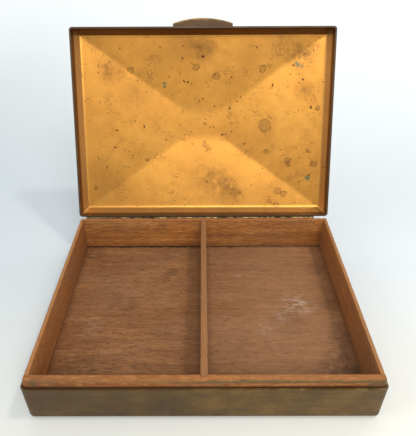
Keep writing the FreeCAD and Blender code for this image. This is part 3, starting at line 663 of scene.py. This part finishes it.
for part in (tongues, plate):
    tree.links.new(part.outputs[0], leaf.inputs["Geometry"])
leaf = add(tree, "GeometryNodeRealizeInstances", {"Geometry": leaf})
leaf = add(tree, "GeometryNodeSetMaterial", {"Geometry": leaf, "Material": hinge_material})
add(tree, "NodeGroupOutput", {"Geometry": leaf})

# what is drawn shut is turned about the pin, to where the lid stands open
open_angle = math.radians(hinge["range_deg"][1])
to_open = (Matrix.Translation(axis) @ Matrix.Rotation(-open_angle, 4, "X") @ Matrix.Translation(-axis))
for name, node, body, sizes, turn in [
    ("hinge_leaf_on_pan", "hinge_leaf_base", "box", pan_leaf_sizes, Matrix.Identity(4)),
    ("hinge_leaf_on_lid", "hinge_leaf_lid", "lid", lid_leaf_sizes, to_open),
]:
    shape = bmesh.new()
    shape.from_mesh(grow(name, tree, sizes))
    shape.transform(turn)
    piece = finish_mesh(shape, name, 40)
    piece.data.materials.append(hinge_material)
    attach(piece, body)
    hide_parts(node)
dress("hinge_pin", hinge_material)

# ---------------------------------------------------------------------------------------------
# The lid: one sheet of bronze pressed over a block. An upright skirt turns into a steep mitred
# band, and inside it four shallow facets rise to a small soft-edged flat. Its inside still has
# the gold-brown lacquer, freckled and stained, and its outside and rim have gone brown.
# ---------------------------------------------------------------------------------------------
lid_sizes = {"Half Width": 81.5 * MM, "Half Depth": 59.475 * MM, "Corner": 1.0 * MM, "Rim": 22.5 * MM,
             "Skirt": 4.5 * MM, "Band Run": 3.1 * MM, "Band Rise": 4.6 * MM, "Hip Rise": 5.5 * MM,
             "Flat Half Width": 12.5 * MM, "Flat Half Depth": 9.0 * MM, "Ripple": 0.12 * MM}
metal = 1.0 * MM
tree, given = start_shape("pressed_lid", lid_sizes)
columns, rows = 201, 151
# the rows crowd together towards the edge, where the sheet bends
crowding = 1.75
grid = add(tree, "GeometryNodeMeshGrid",
           {"Size X": 2.0, "Size Y": 2.0, "Vertices X": columns, "Vertices Y": rows})
flat_place = add(tree, "ShaderNodeSeparateXYZ", {"Vector": add(tree, "GeometryNodeInputPosition")})
spread, side_of, inward = {}, {}, {}
for way, half in (("X", "Half Width"), ("Y", "Half Depth")):
    coordinate = flat_place.outputs[way]
    side_of[way] = add(tree, "ShaderNodeMath", {0: coordinate}, operation="SIGN")
    size = add(tree, "ShaderNodeMath", {0: coordinate}, operation="ABSOLUTE")
    left_over = add(tree, "ShaderNodeMath", {0: 1.0, 1: size}, operation="SUBTRACT", use_clamp=True)
    crowded = add(tree, "ShaderNodeMath", {0: left_over, 1: crowding}, operation="POWER")
    spread[way] = add(tree, "ShaderNodeMath", {0: 1.0, 1: crowded}, operation="SUBTRACT")
    spread[way] = add(tree, "ShaderNodeMath", {0: spread[way], 1: given[half]}, operation="MULTIPLY")
    inward[way] = add(tree, "ShaderNodeMath", {0: given[half], 1: spread[way]}, operation="SUBTRACT")
inset = add(tree, "ShaderNodeMath", {0: inward["X"], 1: inward["Y"]}, operation="MINIMUM")
band_slope = add(tree, "ShaderNodeMath", {0: given["Band Rise"], 1: given["Band Run"]},
                 operation="DIVIDE")
band = add(tree, "ShaderNodeMath", {0: inset, 1: band_slope}, operation="MULTIPLY")
facets = {}
for way, half, flat in (("X", "Half Width", "Flat Half Width"),
                        ("Y", "Half Depth", "Flat Half Depth")):
    run = add(tree, "ShaderNodeMath", {0: given[half], 1: given["Band Run"]}, operation="SUBTRACT")
    run = add(tree, "ShaderNodeMath", {0: run, 1: given[flat]}, operation="SUBTRACT")
    past = add(tree, "ShaderNodeMath", {0: inward[way], 1: given["Band Run"]}, operation="SUBTRACT")
    share = add(tree, "ShaderNodeMath", {0: past, 1: run}, operation="DIVIDE")
    facets[way] = add(tree, "ShaderNodeMath", {0: share, 1: given["Hip Rise"]}, operation="MULTIPLY")
hip_soft, flat_soft, bend_soft = 0.13 * MM, 0.6 * MM, 0.5 * MM
hips = add(tree, "ShaderNodeMath", {0: facets["X"], 1: facets["Y"], 2: hip_soft},
           operation="SMOOTH_MIN")
hips = add(tree, "ShaderNodeMath", {0: hips, 1: given["Hip Rise"], 2: flat_soft},
           operation="SMOOTH_MIN")
panel = add(tree, "ShaderNodeMath", {0: hips, 1: given["Band Rise"]}, operation="ADD")
rise = add(tree, "ShaderNodeMath", {0: band, 1: panel, 2: bend_soft}, operation="SMOOTH_MIN")
# a fine bead stands up along the panel's edge
bead_width, bead_height, bead_inset = 0.7 * MM, 0.13 * MM, 0.35 * MM
off_bead = add(tree, "ShaderNodeMath", {0: inset, 1: given["Band Run"]}, operation="SUBTRACT")
off_bead = add(tree, "ShaderNodeMath", {0: off_bead, 1: bead_inset}, operation="SUBTRACT")
off_bead = add(tree, "ShaderNodeMath", {0: off_bead}, operation="ABSOLUTE")
bead = add(tree, "ShaderNodeMapRange",
           {"Value": off_bead, "From Min": bead_width, "From Max": 0.0, "To Max": bead_height},
           interpolation_type="SMOOTHSTEP")
rise = add(tree, "ShaderNodeMath", {0: rise, 1: bead}, operation="SUBTRACT")
# the sheet isn't perfectly true: it wavers a little between its bends
waves_per_half, full_waver = 3.4, 2.0
waver = add(tree, "ShaderNodeTexNoise",
            {"Vector": add(tree, "GeometryNodeInputPosition"), "Scale": waves_per_half, "Detail": 2.0})
waver = add(tree, "ShaderNodeMath", {0: waver, 1: 0.5}, operation="SUBTRACT")
waver = add(tree, "ShaderNodeMath", {0: waver, 1: given["Ripple"]}, operation="MULTIPLY")
calm = add(tree, "ShaderNodeMapRange",
           {"Value": inset, "From Min": 3 * MM, "From Max": 14 * MM, "To Max": full_waver})
waver = add(tree, "ShaderNodeMath", {0: waver, 1: calm}, operation="MULTIPLY")
rise = add(tree, "ShaderNodeMath", {0: rise, 1: waver}, operation="ADD")
rise = add(tree, "ShaderNodeMath", {0: rise, 1: given["Skirt"]}, operation="ADD")
rise = add(tree, "ShaderNodeMath", {0: rise, 1: given["Rim"]}, operation="ADD")
# the four corners of the plan are rounded by drawing each square corner in to a quarter disc
kept, over = {}, {}
for way, half in (("X", "Half Width"), ("Y", "Half Depth")):
    centre = add(tree, "ShaderNodeMath", {0: given[half], 1: given["Corner"]}, operation="SUBTRACT")
    kept[way] = add(tree, "ShaderNodeMath", {0: spread[way], 1: centre}, operation="MINIMUM")
    over[way] = add(tree, "ShaderNodeMath", {0: spread[way], 1: kept[way]}, operation="SUBTRACT")
longer = add(tree, "ShaderNodeMath", {0: over["X"], 1: over["Y"]}, operation="MAXIMUM")
squares = {way: add(tree, "ShaderNodeMath", {0: over[way], 1: over[way]},
                    operation="MULTIPLY") for way in "XY"}
diagonal = add(tree, "ShaderNodeMath", {0: squares["X"], 1: squares["Y"]}, operation="ADD")
diagonal = add(tree, "ShaderNodeMath", {0: diagonal}, operation="SQRT")
drawn_in = add(tree, "ShaderNodeMath", {0: longer, 1: diagonal}, operation="DIVIDE")
final = {}
for way in "XY":
    rounded = add(tree, "ShaderNodeMath", {0: over[way], 1: drawn_in}, operation="MULTIPLY")
    rounded = add(tree, "ShaderNodeMath", {0: rounded, 1: kept[way]}, operation="ADD")
    final[way] = add(tree, "ShaderNodeMath", {0: rounded, 1: side_of[way]}, operation="MULTIPLY")
pressed_place = add(tree, "ShaderNodeCombineXYZ", {"X": final["X"], "Y": final["Y"], "Z": rise})
sheet = add(tree, "GeometryNodeSetPosition", {"Geometry": grid, "Position": pressed_place})
# the skirt is turned down from the sheet's edge in three steps
faces_met = add(tree, "GeometryNodeInputMeshEdgeNeighbors")
edge_here = add(tree, "FunctionNodeCompare", {"A": faces_met, "B": 1}, data_type="INT",
                operation="EQUAL")
skirt_steps = 3
down = add(tree, "ShaderNodeMath", {0: given["Skirt"], 1: -1 / skirt_steps}, operation="MULTIPLY")
down = add(tree, "ShaderNodeCombineXYZ", {"Z": down})
for step in range(skirt_steps):
    turned = add(tree, "GeometryNodeExtrudeMesh",
                 {"Mesh": sheet, "Selection": edge_here, "Offset": down, "Offset Scale": 1.0},
                 mode="EDGES")
    sheet, edge_here = turned.outputs["Mesh"], turned.outputs["Top"]
sheet = add(tree, "GeometryNodeRealizeInstances", {"Geometry": sheet})


def freckled_lacquer(name, shut_turn, shut_shift):
    """The inside of the lid: bronze under a gold-brown lacquer, so it is a coloured metal with a
    satin gloss. Age has freckled it brown, and damp has left rings, clouds and verdigris."""
    material, tree, shader, where = start_material(name)
    shut = add(tree, "ShaderNodeMapping",
               {"Vector": where, "Rotation": shut_turn, "Location": shut_shift})
    plan = add(tree, "ShaderNodeVectorMath", {0: shut, 1: (1.0, 1.0, 0.0)}, operation="MULTIPLY")
    cloud_size, mottle_size, fine_size = 38 * MM, 6 * MM, 1.1 * MM
    cloud = add(tree, "ShaderNodeTexNoise", {"Vector": plan, "Scale": 1 / cloud_size, "Detail": 3.0})
    mottle = add(tree, "ShaderNodeTexNoise",
                 {"Vector": plan, "Scale": 1 / mottle_size, "Detail": 5.0, "Roughness": 0.7})
    fine = add(tree, "ShaderNodeTexNoise",
               {"Vector": plan, "Scale": 1 / fine_size, "Detail": 3.0, "Roughness": 0.6})
    tone = add(tree, "ShaderNodeMix", {"Factor": 0.4, "A": cloud, "B": mottle}, data_type="FLOAT")
    colour = add(tree, "ShaderNodeValToRGB", {"Fac": tone},
                 stops=[(0.32, "#C2843A"), (0.50, "#CF913F"), (0.68, "#DA9C46")])
    grainy = add(tree, "ShaderNodeMapRange",
                 {"Value": fine, "From Min": 0.55, "From Max": 0.75, "To Max": 0.4})
    colour = add(tree, "ShaderNodeMix", {"Factor": grainy, "A": colour, "B": "#AE7230"},
                 data_type="RGBA", into=shader.inputs["Base Color"])
    # a warped plan, so that no stain is a true circle
    warp = add(tree, "ShaderNodeTexNoise", {"Vector": plan, "Scale": 1 / (2.4 * MM), "Detail": 4.0})
    warp = add(tree, "ShaderNodeVectorMath", {0: warp.outputs["Color"], 1: (0.5, 0.5, 0.5)},
               operation="SUBTRACT")
    warp = add(tree, "ShaderNodeVectorMath", {0: warp, 1: (4 * MM, 4 * MM, 0.0)}, operation="MULTIPLY")
    warped = add(tree, "ShaderNodeVectorMath", {0: plan, 1: warp}, operation="ADD")

    def away_from(x, y):
        """How far the warped plan is from a place given in millimetres."""
        return add(tree, "ShaderNodeVectorMath", {0: warped, 1: (x * MM, y * MM, 0.0)},
                   operation="DISTANCE").outputs["Value"]

    # brown clouds: place on the lid, how far each reaches, and how strong it is, in millimetres
    clouds = [(0, -48, 12, 0.95), (-8, -54, 20, 0.5), (63, -44, 15, 0.9), (52, -53, 20, 0.6),
              (66, -22, 9, 0.8), (13, 42, 18, 0.95), (22, 48, 10, 0.7), (-60, -35, 14, 0.85),
              (-42, -22, 15, 0.5), (2, 34, 18, 0.6), (-68, 30, 14, 0.35), (-45, 22, 14, 0.25),
              (30, -45, 14, 0.3), (-70, -54, 10, 0.35), (-28, -40, 16, 0.2), (40, 10, 16, 0.15),
              (-62, 44, 22, 0.5), (-20, -50, 20, 0.25), (20, -25, 16, 0.2)]
    broken = add(tree, "ShaderNodeMapRange", {"Value": mottle, "From Min": 0.32, "From Max": 0.62})
    for x, y, reach, strength in clouds:
        near = add(tree, "ShaderNodeMapRange", {"Value": away_from(x, y), "From Min": reach * MM,
                                                "From Max": 0.0, "To Max": strength},
                   interpolation_type="SMOOTHSTEP")
        mask = add(tree, "ShaderNodeMath", {0: near, 1: broken}, operation="MULTIPLY")
        colour = add(tree, "ShaderNodeMix", {"Factor": mask, "A": colour, "B": "#7A5226"},
                     data_type="RGBA", into=shader.inputs["Base Color"])
    # freckles: most cells of a scatter hold none, and a few hold one of about half a millimetre
    for cell, widest, share in ((2.5 * MM, 0.60 * MM, 0.5), (6.5 * MM, 1.05 * MM, 0.4)):
        scatter = add(tree, "ShaderNodeTexVoronoi", {"Vector": warped, "Scale": 1 / cell}, feature="F1")
        lot = add(tree, "ShaderNodeSeparateColor", {"Color": scatter.outputs["Color"]})
        chosen = add(tree, "ShaderNodeMapRange", {"Value": lot.outputs["Red"], "From Min": 1 - share,
                                                  "From Max": 1.0, "To Max": widest / cell})
        freckle = add(tree, "ShaderNodeMath", {0: chosen, 1: scatter.outputs["Distance"]},
                      operation="SUBTRACT")
        mask = add(tree, "ShaderNodeMapRange",
                   {"Value": freckle, "From Min": 0.0, "From Max": 0.05, "To Max": 0.95})
        colour = add(tree, "ShaderNodeMix", {"Factor": mask, "A": colour, "B": "#4E3016"},
                     data_type="RGBA", into=shader.inputs["Base Color"])
    # crazing: fine brown threads where the lacquer has lifted, in patches
    thread_noise = add(tree, "ShaderNodeTexNoise",
                       {"Vector": plan, "Scale": 1 / (2.6 * MM), "Detail": 2.0})
    off_thread = add(tree, "ShaderNodeMath", {0: thread_noise, 1: 0.5}, operation="SUBTRACT")
    off_thread = add(tree, "ShaderNodeMath", {0: off_thread}, operation="ABSOLUTE")
    thread = add(tree, "ShaderNodeMapRange",
                 {"Value": off_thread, "From Min": 0.045, "From Max": 0.015, "To Max": 0.8})
    patches = add(tree, "ShaderNodeTexNoise",
                  {"Vector": plan, "Scale": 1 / (13 * MM), "Detail": 3.0, "Roughness": 0.6})
    lifted = add(tree, "ShaderNodeMapRange", {"Value": patches, "From Min": 0.52, "From Max": 0.66})
    mask = add(tree, "ShaderNodeMath", {0: thread, 1: lifted}, operation="MULTIPLY")
    colour = add(tree, "ShaderNodeMix", {"Factor": mask, "A": colour, "B": "#94642F"},
                 data_type="RGBA", into=shader.inputs["Base Color"])
    # rings: a brown outline round a slightly dulled middle
    rings = [(41, 1.4, 4.1), (1, 13.7, 1.9), (56.5, 24.8, 2.0), (57, 27.2, 1.6), (74, 27, 2.1),
             (50.5, 45.5, 2.2), (54.5, 47.5, 2.0), (49.5, 55, 1.8), (-4.6, -36.6, 2.0),
             (8.5, -30.8, 2.4), (38.8, -35.3, 2.1), (42, 18.8, 1.6), (75, -10.3, 1.6), (-47, -35, 1.8),
             (25, 46.6, 0.9), (1.2, 0.3, 0.9), (70, 18, 1.0), (4, 17, 1.3), (-38, 24, 0.9),
             (-73, 43, 1.2), (45, 52, 1.2)]
    for x, y, radius in rings:
        away = away_from(x, y)
        inside = add(tree, "ShaderNodeMapRange", {"Value": away, "From Min": radius * MM,
                                                  "From Max": (radius - 0.5) * MM, "To Max": 0.5})
        off_ring = add(tree, "ShaderNodeMath", {0: away, 1: radius * MM}, operation="SUBTRACT")
        off_ring = add(tree, "ShaderNodeMath", {0: off_ring}, operation="ABSOLUTE")
        outline = add(tree, "ShaderNodeMapRange",
                      {"Value": off_ring, "From Min": 0.55 * MM, "From Max": 0.1 * MM, "To Max": 0.85})
        outline = add(tree, "ShaderNodeMath", {0: outline, 1: broken}, operation="MULTIPLY")
        layers = [(inside, "#8C6330"), (outline, "#5E3B18")]
        for mask, tone in layers:
            colour = add(tree, "ShaderNodeMix", {"Factor": mask, "A": colour, "B": tone},
                         data_type="RGBA", into=shader.inputs["Base Color"])
    # verdigris: a few small blue-green blots
    blots = [(70.4, 36.5, 1.5), (-25.4, -27, 0.7), (-25.2, -25, 0.8), (61, -38, 1.2), (64, -37, 0.7)]
    for x, y, radius in blots:
        mask = add(tree, "ShaderNodeMapRange", {"Value": away_from(x, y), "From Min": (radius + 0.9) * MM,
                                                "From Max": (radius - 0.4) * MM, "To Max": 0.85})
        colour = add(tree, "ShaderNodeMix", {"Factor": mask, "A": colour, "B": "#5E6A4E"},
                     data_type="RGBA", into=shader.inputs["Base Color"])
    # the mitred band and the skirt are dirtier than the panel, with a painted highlight line between them
    spots = add(tree, "ShaderNodeSeparateXYZ", {"Vector": plan})
    gaps = []
    for way, half in (("X", "Half Width"), ("Y", "Half Depth")):
        size = add(tree, "ShaderNodeMath", {0: spots.outputs[way]}, operation="ABSOLUTE")
        gaps.append(add(tree, "ShaderNodeMath", {0: lid_sizes[half], 1: size}, operation="SUBTRACT"))
    inset = add(tree, "ShaderNodeMath", {0: gaps[0], 1: gaps[1]}, operation="MINIMUM")
    run = lid_sizes["Band Run"]
    dirty = add(tree, "ShaderNodeMapRange",
                {"Value": inset, "From Min": run + 0.3 * MM, "From Max": run - 0.5 * MM, "To Max": 0.6})
    # painted light: the left-hand band is made paler than the others
    painted_light_left = add(tree, "ShaderNodeMapRange", {"Value": spots.outputs["X"],
                                               "From Min": run - lid_sizes["Half Width"],
                                               "From Max": run * 0.8 - lid_sizes["Half Width"],
                                               "To Max": 0.6})
    # a painted shade darkens the band along the front, which faces down when the lid stands open
    painted_shade_front = add(tree, "ShaderNodeMapRange", {"Value": spots.outputs["Y"],
                                                  "From Min": run * 1.1 - lid_sizes["Half Depth"],
                                                  "From Max": run - lid_sizes["Half Depth"],
                                                  "To Max": 0.75})
    skirt_dirt = add(tree, "ShaderNodeMapRange",
                     {"Value": inset, "From Min": 0.7 * MM, "From Max": 0.1 * MM, "To Max": 0.8})
    # a thin pale line just inside the band is a painted highlight, where the bead catches the light
    off_line = add(tree, "ShaderNodeMath", {0: inset, 1: run + 0.45 * MM}, operation="SUBTRACT")
    off_line = add(tree, "ShaderNodeMath", {0: off_line}, operation="ABSOLUTE")
    rub_and_highlight = add(tree, "ShaderNodeMapRange",
                 {"Value": off_line, "From Min": 0.6 * MM, "From Max": 0.1 * MM, "To Max": 0.25})
    layers = [(dirty, "#B08B55"), (painted_light_left, "#DCAA68"), (painted_shade_front, "#5A3A1C"),
              (skirt_dirt, "#5C3B1F"), (rub_and_highlight, "#EAAE5C")]
    for mask, tone in layers:
        colour = add(tree, "ShaderNodeMix", {"Factor": mask, "A": colour, "B": tone},
                     data_type="RGBA", into=shader.inputs["Base Color"])
    add(tree, "ShaderNodeMapRange",
        {"Value": mottle, "From Min": 0.3, "From Max": 0.7, "To Min": 0.36, "To Max": 0.48},
        into=shader.inputs["Roughness"])
    add(tree, "ShaderNodeBump", {"Height": fine, "Strength": 0.3, "Distance": 0.05 * MM},
        into=shader.inputs["Normal"])
    shader.inputs["Metallic"].default_value = 0.85
    return material


to_shut = to_open.inverted()
inside_bronze = freckled_lacquer("bronze_freckled_gold_lacquer", to_shut.to_euler(),
                                 to_shut.to_translation())
sheet = add(tree, "GeometryNodeSetMaterial", {"Geometry": sheet, "Material": inside_bronze})
add(tree, "NodeGroupOutput", {"Geometry": sheet})

outside_bronze, rim_tree, shader, where, colour = patinated_bronze("bronze_brown_patina_lid", "#6F5230")
# grime has blackened the last millimetre of the skirt, down to its cut edge
shut = add(rim_tree, "ShaderNodeMapping",
           {"Vector": where, "Rotation": to_shut.to_euler(), "Location": to_shut.to_translation()})
height = add(rim_tree, "ShaderNodeSeparateXYZ", {"Vector": shut}).outputs["Z"]
grimy = add(rim_tree, "ShaderNodeMapRange", {"Value": height, "From Min": lid_sizes["Rim"] + 1.0 * MM,
                                             "From Max": lid_sizes["Rim"] + 0.2 * MM, "To Max": 0.75})
add(rim_tree, "ShaderNodeMix", {"Factor": grimy, "A": colour, "B": "#38291A"},
    data_type="RGBA", into=shader.inputs["Base Color"])
add(rim_tree, "ShaderNodeMapRange", {"Value": grimy, "To Min": 0.65, "To Max": 0.15},
    into=shader.inputs["Metallic"])
shape = bmesh.new()
shape.from_mesh(grow("pressed_lid", tree, lid_sizes, metal))
middle_of_lid = Vector((0.0, 0.0, lid_sizes["Rim"] + lid_sizes["Skirt"] / 2))
for face in shape.faces:
    outwards = face.normal.dot(face.calc_center_median() - middle_of_lid) > 0
    face.material_index = 1 if outwards else 0
shape.transform(to_open)
lid = finish_mesh(shape, "pressed_lid", 50)
lid.data.materials.append(inside_bronze)
lid.data.materials.append(outside_bronze)
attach(lid, "lid")
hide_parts("lid_shell")

# ---------------------------------------------------------------------------------------------
# The thumb lift: a crescent of thick bronze soldered to the front of the skirt. Thumbs have
# worn the patina off its curved edge, down to gold.
# ---------------------------------------------------------------------------------------------
lift_bronze, tree, shader, where, colour = patinated_bronze("bronze_thumb_worn", "#7D5430")
lift_low, lift_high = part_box("thumb_lift")
lift_width, lift_rise, lift_tip = lift_high[0] - lift_low[0], 3.1 * MM, lift_high[2]
arc_radius = lift_width**2 / (8 * lift_rise) + lift_rise / 2
arc_centre = (0.0, (lift_low[1] + lift_high[1]) / 2, lift_tip - arc_radius)
away = add(tree, "ShaderNodeVectorMath", {0: where, 1: arc_centre}, operation="DISTANCE")
uneven = add(tree, "ShaderNodeTexNoise", {"Vector": where, "Scale": 1 / (4 * MM), "Detail": 3.0})
sway = add(tree, "ShaderNodeMapRange", {"Value": uneven, "To Min": -1.0 * MM, "To Max": 1.0 * MM})
reach = add(tree, "ShaderNodeMath", {0: away.outputs["Value"], 1: sway}, operation="ADD")
pale_edge = add(tree, "ShaderNodeMapRange",
           {"Value": reach, "From Min": arc_radius - 0.7 * MM, "From Max": arc_radius - 0.1 * MM})
place = add(tree, "ShaderNodeSeparateXYZ", {"Vector": where})
in_middle = add(tree, "ShaderNodeMapRange", {"Value": place.outputs["X"], "From Min": 17 * MM,
                                             "From Max": 5 * MM, "To Min": 0.2, "To Max": 0.75})
pale_edge = add(tree, "ShaderNodeMath", {0: pale_edge, 1: in_middle}, operation="MULTIPLY")
layers = [(0.7, "#3E281D"), (pale_edge, "#A78349")]
for mask, tone in layers:
    colour = add(tree, "ShaderNodeMix", {"Factor": mask, "A": colour, "B": tone},
                 data_type="RGBA", into=shader.inputs["Base Color"])
# it is drawn shut, as slices from end to end, each a flat tab with a rounded nose, whose root is
# let into the skirt by a hundredth of a millimetre
lift_end, lift_thick, lift_round, lift_gap = 1.9 * MM, 1.8 * MM, 0.5 * MM, 0.3 * MM
lift_root, lift_foot = -60.49 * MM, lid_sizes["Rim"] + lift_gap
lift_half, nose_steps, slice_count = lift_width / 2, 6, 48
end_slices, end_rounding = (0.06, 0.25, 0.55), 0.8
places = [-lift_half + lift_width * n / slice_count for n in range(slice_count + 1)]
places += [side * (lift_half - lift_round * part) for side in (-1, 1) for part in end_slices]
shape = bmesh.new()
rings = []
for across in sorted(places):
    from_end = min(lift_half - abs(across), lift_round)
    drawn_in = lift_round - math.sqrt(lift_round**2 - (lift_round - from_end) ** 2)
    drawn_in *= end_rounding
    reach = lift_end + math.sqrt(arc_radius**2 - across**2) - (arc_radius - lift_rise) - drawn_in
    low, high = lift_foot + drawn_in, lift_foot + lift_thick - drawn_in
    nose = min(lift_round, (high - low) / 2)
    outline = [(0.0, low)]
    for centre, from_angle in ((low + nose, -math.pi / 2), (high - nose, 0.0)):
        for step in range(nose_steps + 1):
            angle = from_angle + step / nose_steps * math.pi / 2
            outline.append((reach - nose + nose * math.cos(angle), centre + nose * math.sin(angle)))
    outline.append((0.0, high))
    rings.append([shape.verts.new((across, lift_root - out, z)) for out, z in outline])
for first, second in zip(rings, rings[1:]):
    for n in range(len(first)):
        after = (n + 1) % len(first)
        shape.faces.new((first[n], first[after], second[after], second[n]))
shape.faces.new(rings[0])
shape.faces.new(rings[-1])
shape.transform(to_open)
lift = finish_mesh(shape, "thumb_lift_crescent", 40)
lift.data.materials.append(lift_bronze)
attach(lift, "lid")
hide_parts("thumb_lift")

# ---------------------------------------------------------------------------------------------
# The stage: a pale seamless sweep, one high light from the right that throws the divider's
# narrow shadow, soft light from the front and both sides, and the camera in front, looking down.
# ---------------------------------------------------------------------------------------------
sweep_width, sweep_front, sweep_back, sweep_top, sweep_bend = 3.0, -1.2, 0.9, 1.6, 0.5
profile = [(sweep_front, 0.0), (sweep_back - sweep_bend, 0.0)]
bend_steps = 16
for step in range(1, bend_steps + 1):
    turn = step / bend_steps * math.pi / 2
    profile.append((sweep_back - sweep_bend + sweep_bend * math.sin(turn),
                    sweep_bend - sweep_bend * math.cos(turn)))
profile.append((sweep_back, sweep_top))
vertices = [(side * sweep_width / 2, y, z) for y, z in profile for side in (-1, 1)]
faces = [(2 * n, 2 * n + 1, 2 * n + 3, 2 * n + 2) for n in range(len(profile) - 1)]
sweep_mesh = bpy.data.meshes.new("sweep")
sweep_mesh.from_pydata(vertices, [], faces)
sweep_mesh.polygons.foreach_set("use_smooth", [True] * len(faces))
sweep = bpy.data.objects.new("sweep", sweep_mesh)
bpy.context.collection.objects.link(sweep)
paper, tree, shader, where = start_material("white_paper_sweep")
place = add(tree, "ShaderNodeSeparateXYZ", {"Vector": where})
# the paper is warm in front, paler to the right under painted light, cooler behind, darkened behind to
# the left by a painted shadow, and white up the back
# painted light: the paper grows paler to the right, towards the key light
painted_light_right = add(tree, "ShaderNodeMapRange",
                  {"Value": place.outputs["X"], "From Min": -0.1, "From Max": 0.12})
towards_back = add(tree, "ShaderNodeMapRange",
                   {"Value": place.outputs["Y"], "From Min": -0.14, "From Max": 0.04})
# painted shadow: the shadow of the box and lid, darkening the paper behind to the left
darker_to_left = add(tree, "ShaderNodeMapRange",
              {"Value": place.outputs["X"], "From Min": 0.1, "From Max": -0.25, "To Max": 0.85})
darker_to_left = add(tree, "ShaderNodeMath", {0: darker_to_left, 1: towards_back}, operation="MULTIPLY")
up_the_back = add(tree, "ShaderNodeMapRange",
                  {"Value": place.outputs["Y"], "From Min": 0.15, "From Max": 0.8})
colour = "#DEDACC"
layers = [(painted_light_right, "#F0EADB"), (towards_back, "#D5DADD"), (darker_to_left, "#B2BABE"),
          (up_the_back, "#FBFCFC")]
for mask, tone in layers:
    colour = add(tree, "ShaderNodeMix", {"Factor": mask, "A": colour, "B": tone},
                 data_type="RGBA", into=shader.inputs["Base Color"])
shader.inputs["Roughness"].default_value = 0.9
sweep_mesh.materials.append(paper)


def softbox(name, place, aim, width, height, watts, colour):
    """A rectangular lamp that faces a point, with its places and sizes in metres."""
    lamp = bpy.data.lights.new(name, "AREA")
    lamp.shape = "RECTANGLE"
    lamp.size, lamp.size_y = width, height
    lamp.energy = watts
    lamp.color = linear(colour)[:3]
    holder = bpy.data.objects.new(name, lamp)
    holder.location = place
    holder.rotation_euler = (Vector(aim) - Vector(place)).to_track_quat("-Z", "Y").to_euler()
    bpy.context.collection.objects.link(holder)


softbox("key_right", (0.46, -0.05, 1.18), (0, 0, 0), 0.1, 0.1, 3.3, "#FFFBF2")
softbox("front_high", (0.25, -0.95, 1.05), (0, 0.08, 0.08), 0.9, 0.5, 11.5, "#FFFDFA")
softbox("fill_left", (-0.9, -0.2, 0.55), (0, 0, 0.03), 0.6, 0.6, 2.6, "#FFFFFF")
softbox("edge_right", (0.9, 0.45, 0.35), (0, 0.1, 0.1), 0.4, 0.6, 1.6, "#FFFDFA")
world = bpy.data.worlds.new("studio")
world.use_nodes = True
world.node_tree.nodes["Background"].inputs["Color"].default_value = linear("#EEF4F8")
world.node_tree.nodes["Background"].inputs["Strength"].default_value = 0.66
bpy.context.scene.world = world
bpy.context.scene.view_settings.view_transform = "Standard"

# the camera is held close in front of the box, a little above the open lid, and tipped down
camera_data = bpy.data.cameras.new("camera")
camera_data.sensor_width, camera_data.lens = 36.0, 37.09817
camera_data.shift_x, camera_data.shift_y = 0.0146789, -0.0887615
camera_data.clip_start = 0.01
pitch, roll, yaw = math.radians(32.74), math.radians(-0.3), math.radians(-0.2)
camera = bpy.data.objects.new("camera", camera_data)
camera.location = (-0.0003, -0.1776, 0.2090)
forward = Vector((math.sin(yaw) * math.cos(pitch), math.cos(yaw) * math.cos(pitch), -math.sin(pitch)))
level = Vector((math.cos(yaw), -math.sin(yaw), 0))
upward = level.cross(forward)
right = math.cos(roll) * level + math.sin(roll) * upward
top = -math.sin(roll) * level + math.cos(roll) * upward
camera.rotation_euler = Matrix((right, top, -forward)).transposed().to_euler()
bpy.context.collection.objects.link(camera)
bpy.context.scene.camera = camera
